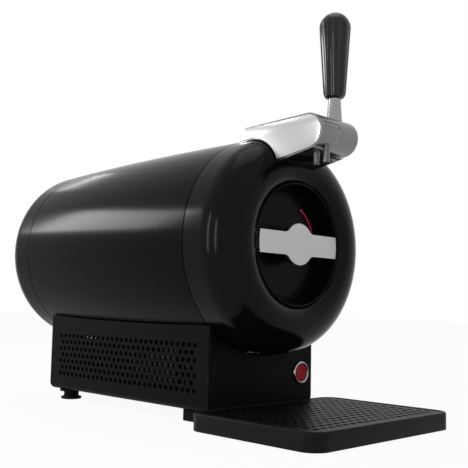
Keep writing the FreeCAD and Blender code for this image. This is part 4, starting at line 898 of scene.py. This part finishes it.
@dataclass
class Studio:
    """White surroundings, soft boxes and the photograph's camera."""

    focal: float = 757.4
    frame_width: float = 468.0
    sensor: float = 36.0
    eye: Vector = field(default_factory=lambda: Vector((-595.3, FRONT - 550.2, 117.5)) * MM)
    yaw: float = 44.55
    pitch: float = 5.36
    roll: float = 1.16
    shift: Point = (0.0075, 0.0029)

    def camera(self) -> None:
        """Places the camera that was solved from the photograph."""
        data = bpy.data.cameras.new("camera")
        data.sensor_width = self.sensor
        data.sensor_fit = "HORIZONTAL"
        data.lens = self.focal / self.frame_width * self.sensor
        data.shift_x, data.shift_y = self.shift
        data.clip_start, data.clip_end = 0.01, 50
        yaw, pitch, roll = (math.radians(v) for v in (self.yaw, self.pitch, self.roll))
        forward = Vector((math.sin(yaw) * math.cos(pitch), math.cos(yaw) * math.cos(pitch), math.sin(pitch)))
        right = Vector((math.cos(yaw), -math.sin(yaw), 0))
        up = right.cross(forward)
        across = right * math.cos(roll) + up * math.sin(roll)
        upward = up * math.cos(roll) - right * math.sin(roll)
        turn = Matrix((across, upward, -forward)).transposed()
        camera = bpy.data.objects.new("camera", data)
        camera.matrix_world = Matrix.Translation(self.eye) @ turn.to_4x4()
        bpy.context.scene.collection.objects.link(camera)
        bpy.context.scene.camera = camera

    def lamp(self, name: str, at: Sequence[float], aim: Sequence[float], size: Point, power: float) -> None:
        """A soft box.

        Args:
            name: the lamp's name.
            at: where it hangs, in metres.
            aim: what it points at.
            size: width and height in metres.
            power: its strength in watts.
        """
        data = bpy.data.lights.new(name, "AREA")
        data.shape = "RECTANGLE"
        data.size, data.size_y = size
        data.energy = power
        lamp = bpy.data.objects.new(name, data)
        lamp.location = at
        lamp.rotation_euler = (Vector(aim) - Vector(at)).to_track_quat("-Z", "Y").to_euler()
        bpy.context.scene.collection.objects.link(lamp)

    def white_where_seen(self, graph: Graph, inner: Wire, share: float) -> Wire:
        """Mixes a surface with plain white for rays from the camera, gloss and glass."""
        rays = [graph.node("ShaderNodeLightPath", {}, {}, name)
                for name in ("Is Camera Ray", "Is Glossy Ray", "Is Transmission Ray")]
        seen = (rays[0] + rays[1] + rays[2]).clipped() * share
        white = graph.node("ShaderNodeEmission", {}, {"Color": (1, 1, 1, 1), "Strength": 1.0})
        return graph.node("ShaderNodeMixShader", {}, {0: seen, 1: inner, 2: white})

    def floor(self) -> None:
        """A large pale floor that keeps a soft shadow."""
        deselect()
        bpy.ops.mesh.primitive_plane_add(size=14, location=(0, 0, -0.0002))
        plane = bpy.context.object
        plane.name = "studio_floor"
        graph = Graph("studio_floor_white")
        tone = graph.shade((0.9, 0.9, 0.9, 1), (0.93, 0.93, 0.93, 1), graph.noise(3.0))
        surface = graph.node("ShaderNodeBsdfPrincipled", {}, {"Base Color": tone, "Roughness": 0.9})
        plane.data.materials.append(graph.finish(self.white_where_seen(graph, surface, 0.93)))

    def world(self) -> None:
        """Even light with a white background for the camera."""
        world = bpy.data.worlds.new("studio")
        bpy.context.scene.world = world
        world.use_nodes = True
        tree = world.node_tree
        tree.nodes.clear()
        path = tree.nodes.new("ShaderNodeLightPath")
        seen = tree.nodes.new("ShaderNodeBackground")
        seen.inputs["Color"].default_value = (1, 1, 1, 1)
        seen.inputs["Strength"].default_value = 1.0
        unseen = tree.nodes.new("ShaderNodeBackground")
        unseen.inputs["Color"].default_value = (1, 1, 1, 1)
        unseen.inputs["Strength"].default_value = 0.5
        mix = tree.nodes.new("ShaderNodeMixShader")
        output = tree.nodes.new("ShaderNodeOutputWorld")
        either = tree.nodes.new("ShaderNodeMath")
        either.operation = "MAXIMUM"
        any_of = tree.nodes.new("ShaderNodeMath")
        any_of.operation = "MAXIMUM"
        tree.links.new(path.outputs["Is Camera Ray"], either.inputs[0])
        tree.links.new(path.outputs["Is Glossy Ray"], either.inputs[1])
        tree.links.new(either.outputs[0], any_of.inputs[0])
        tree.links.new(path.outputs["Is Transmission Ray"], any_of.inputs[1])
        tree.links.new(any_of.outputs[0], mix.inputs[0])
        tree.links.new(unseen.outputs[0], mix.inputs[1])
        tree.links.new(seen.outputs[0], mix.inputs[2])
        tree.links.new(mix.outputs[0], output.inputs["Surface"])

    def build(self) -> None:
        """Sets up the camera, the floor, the world and the lamps."""
        bpy.context.scene.view_settings.view_transform = "Standard"
        self.camera()
        self.floor()
        self.world()
        flank = (-0.11, 0.03, 0.20)
        self.lamp("band_box", (-0.78, 1.22, 0.72), flank, (0.55, 0.34), 11)
        self.lamp("streak_box", (0.32, 1.41, 0.99), (-0.07, 0.14, 0.26), (0.34, 0.04), 0.45)
        self.lamp("shoulder_strip", (-1.46, 0.14, 0.40), (-0.1, -0.13, 0.18), (0.04, 0.9), 3.5)
        self.lamp("shoulder_strip_low", (-1.46, -0.52, 0.30), (-0.1, -0.13, 0.18), (0.04, 0.8), 3.0)
        self.lamp("top_box", (0.1, -0.1, 1.9), (0, 0, 0.18), (1.0, 1.0), 4)


def main() -> None:
    """Builds the dressed object and its studio."""
    deselect()
    dress_nodes()
    makers: list[Callable[[], None]] = [
        Drum().build, Door().build, Tap().build, Base().build, Tray().build, Studio().build,
    ]
    for make in makers:
        make()


if __name__ == "__main__":
    main()
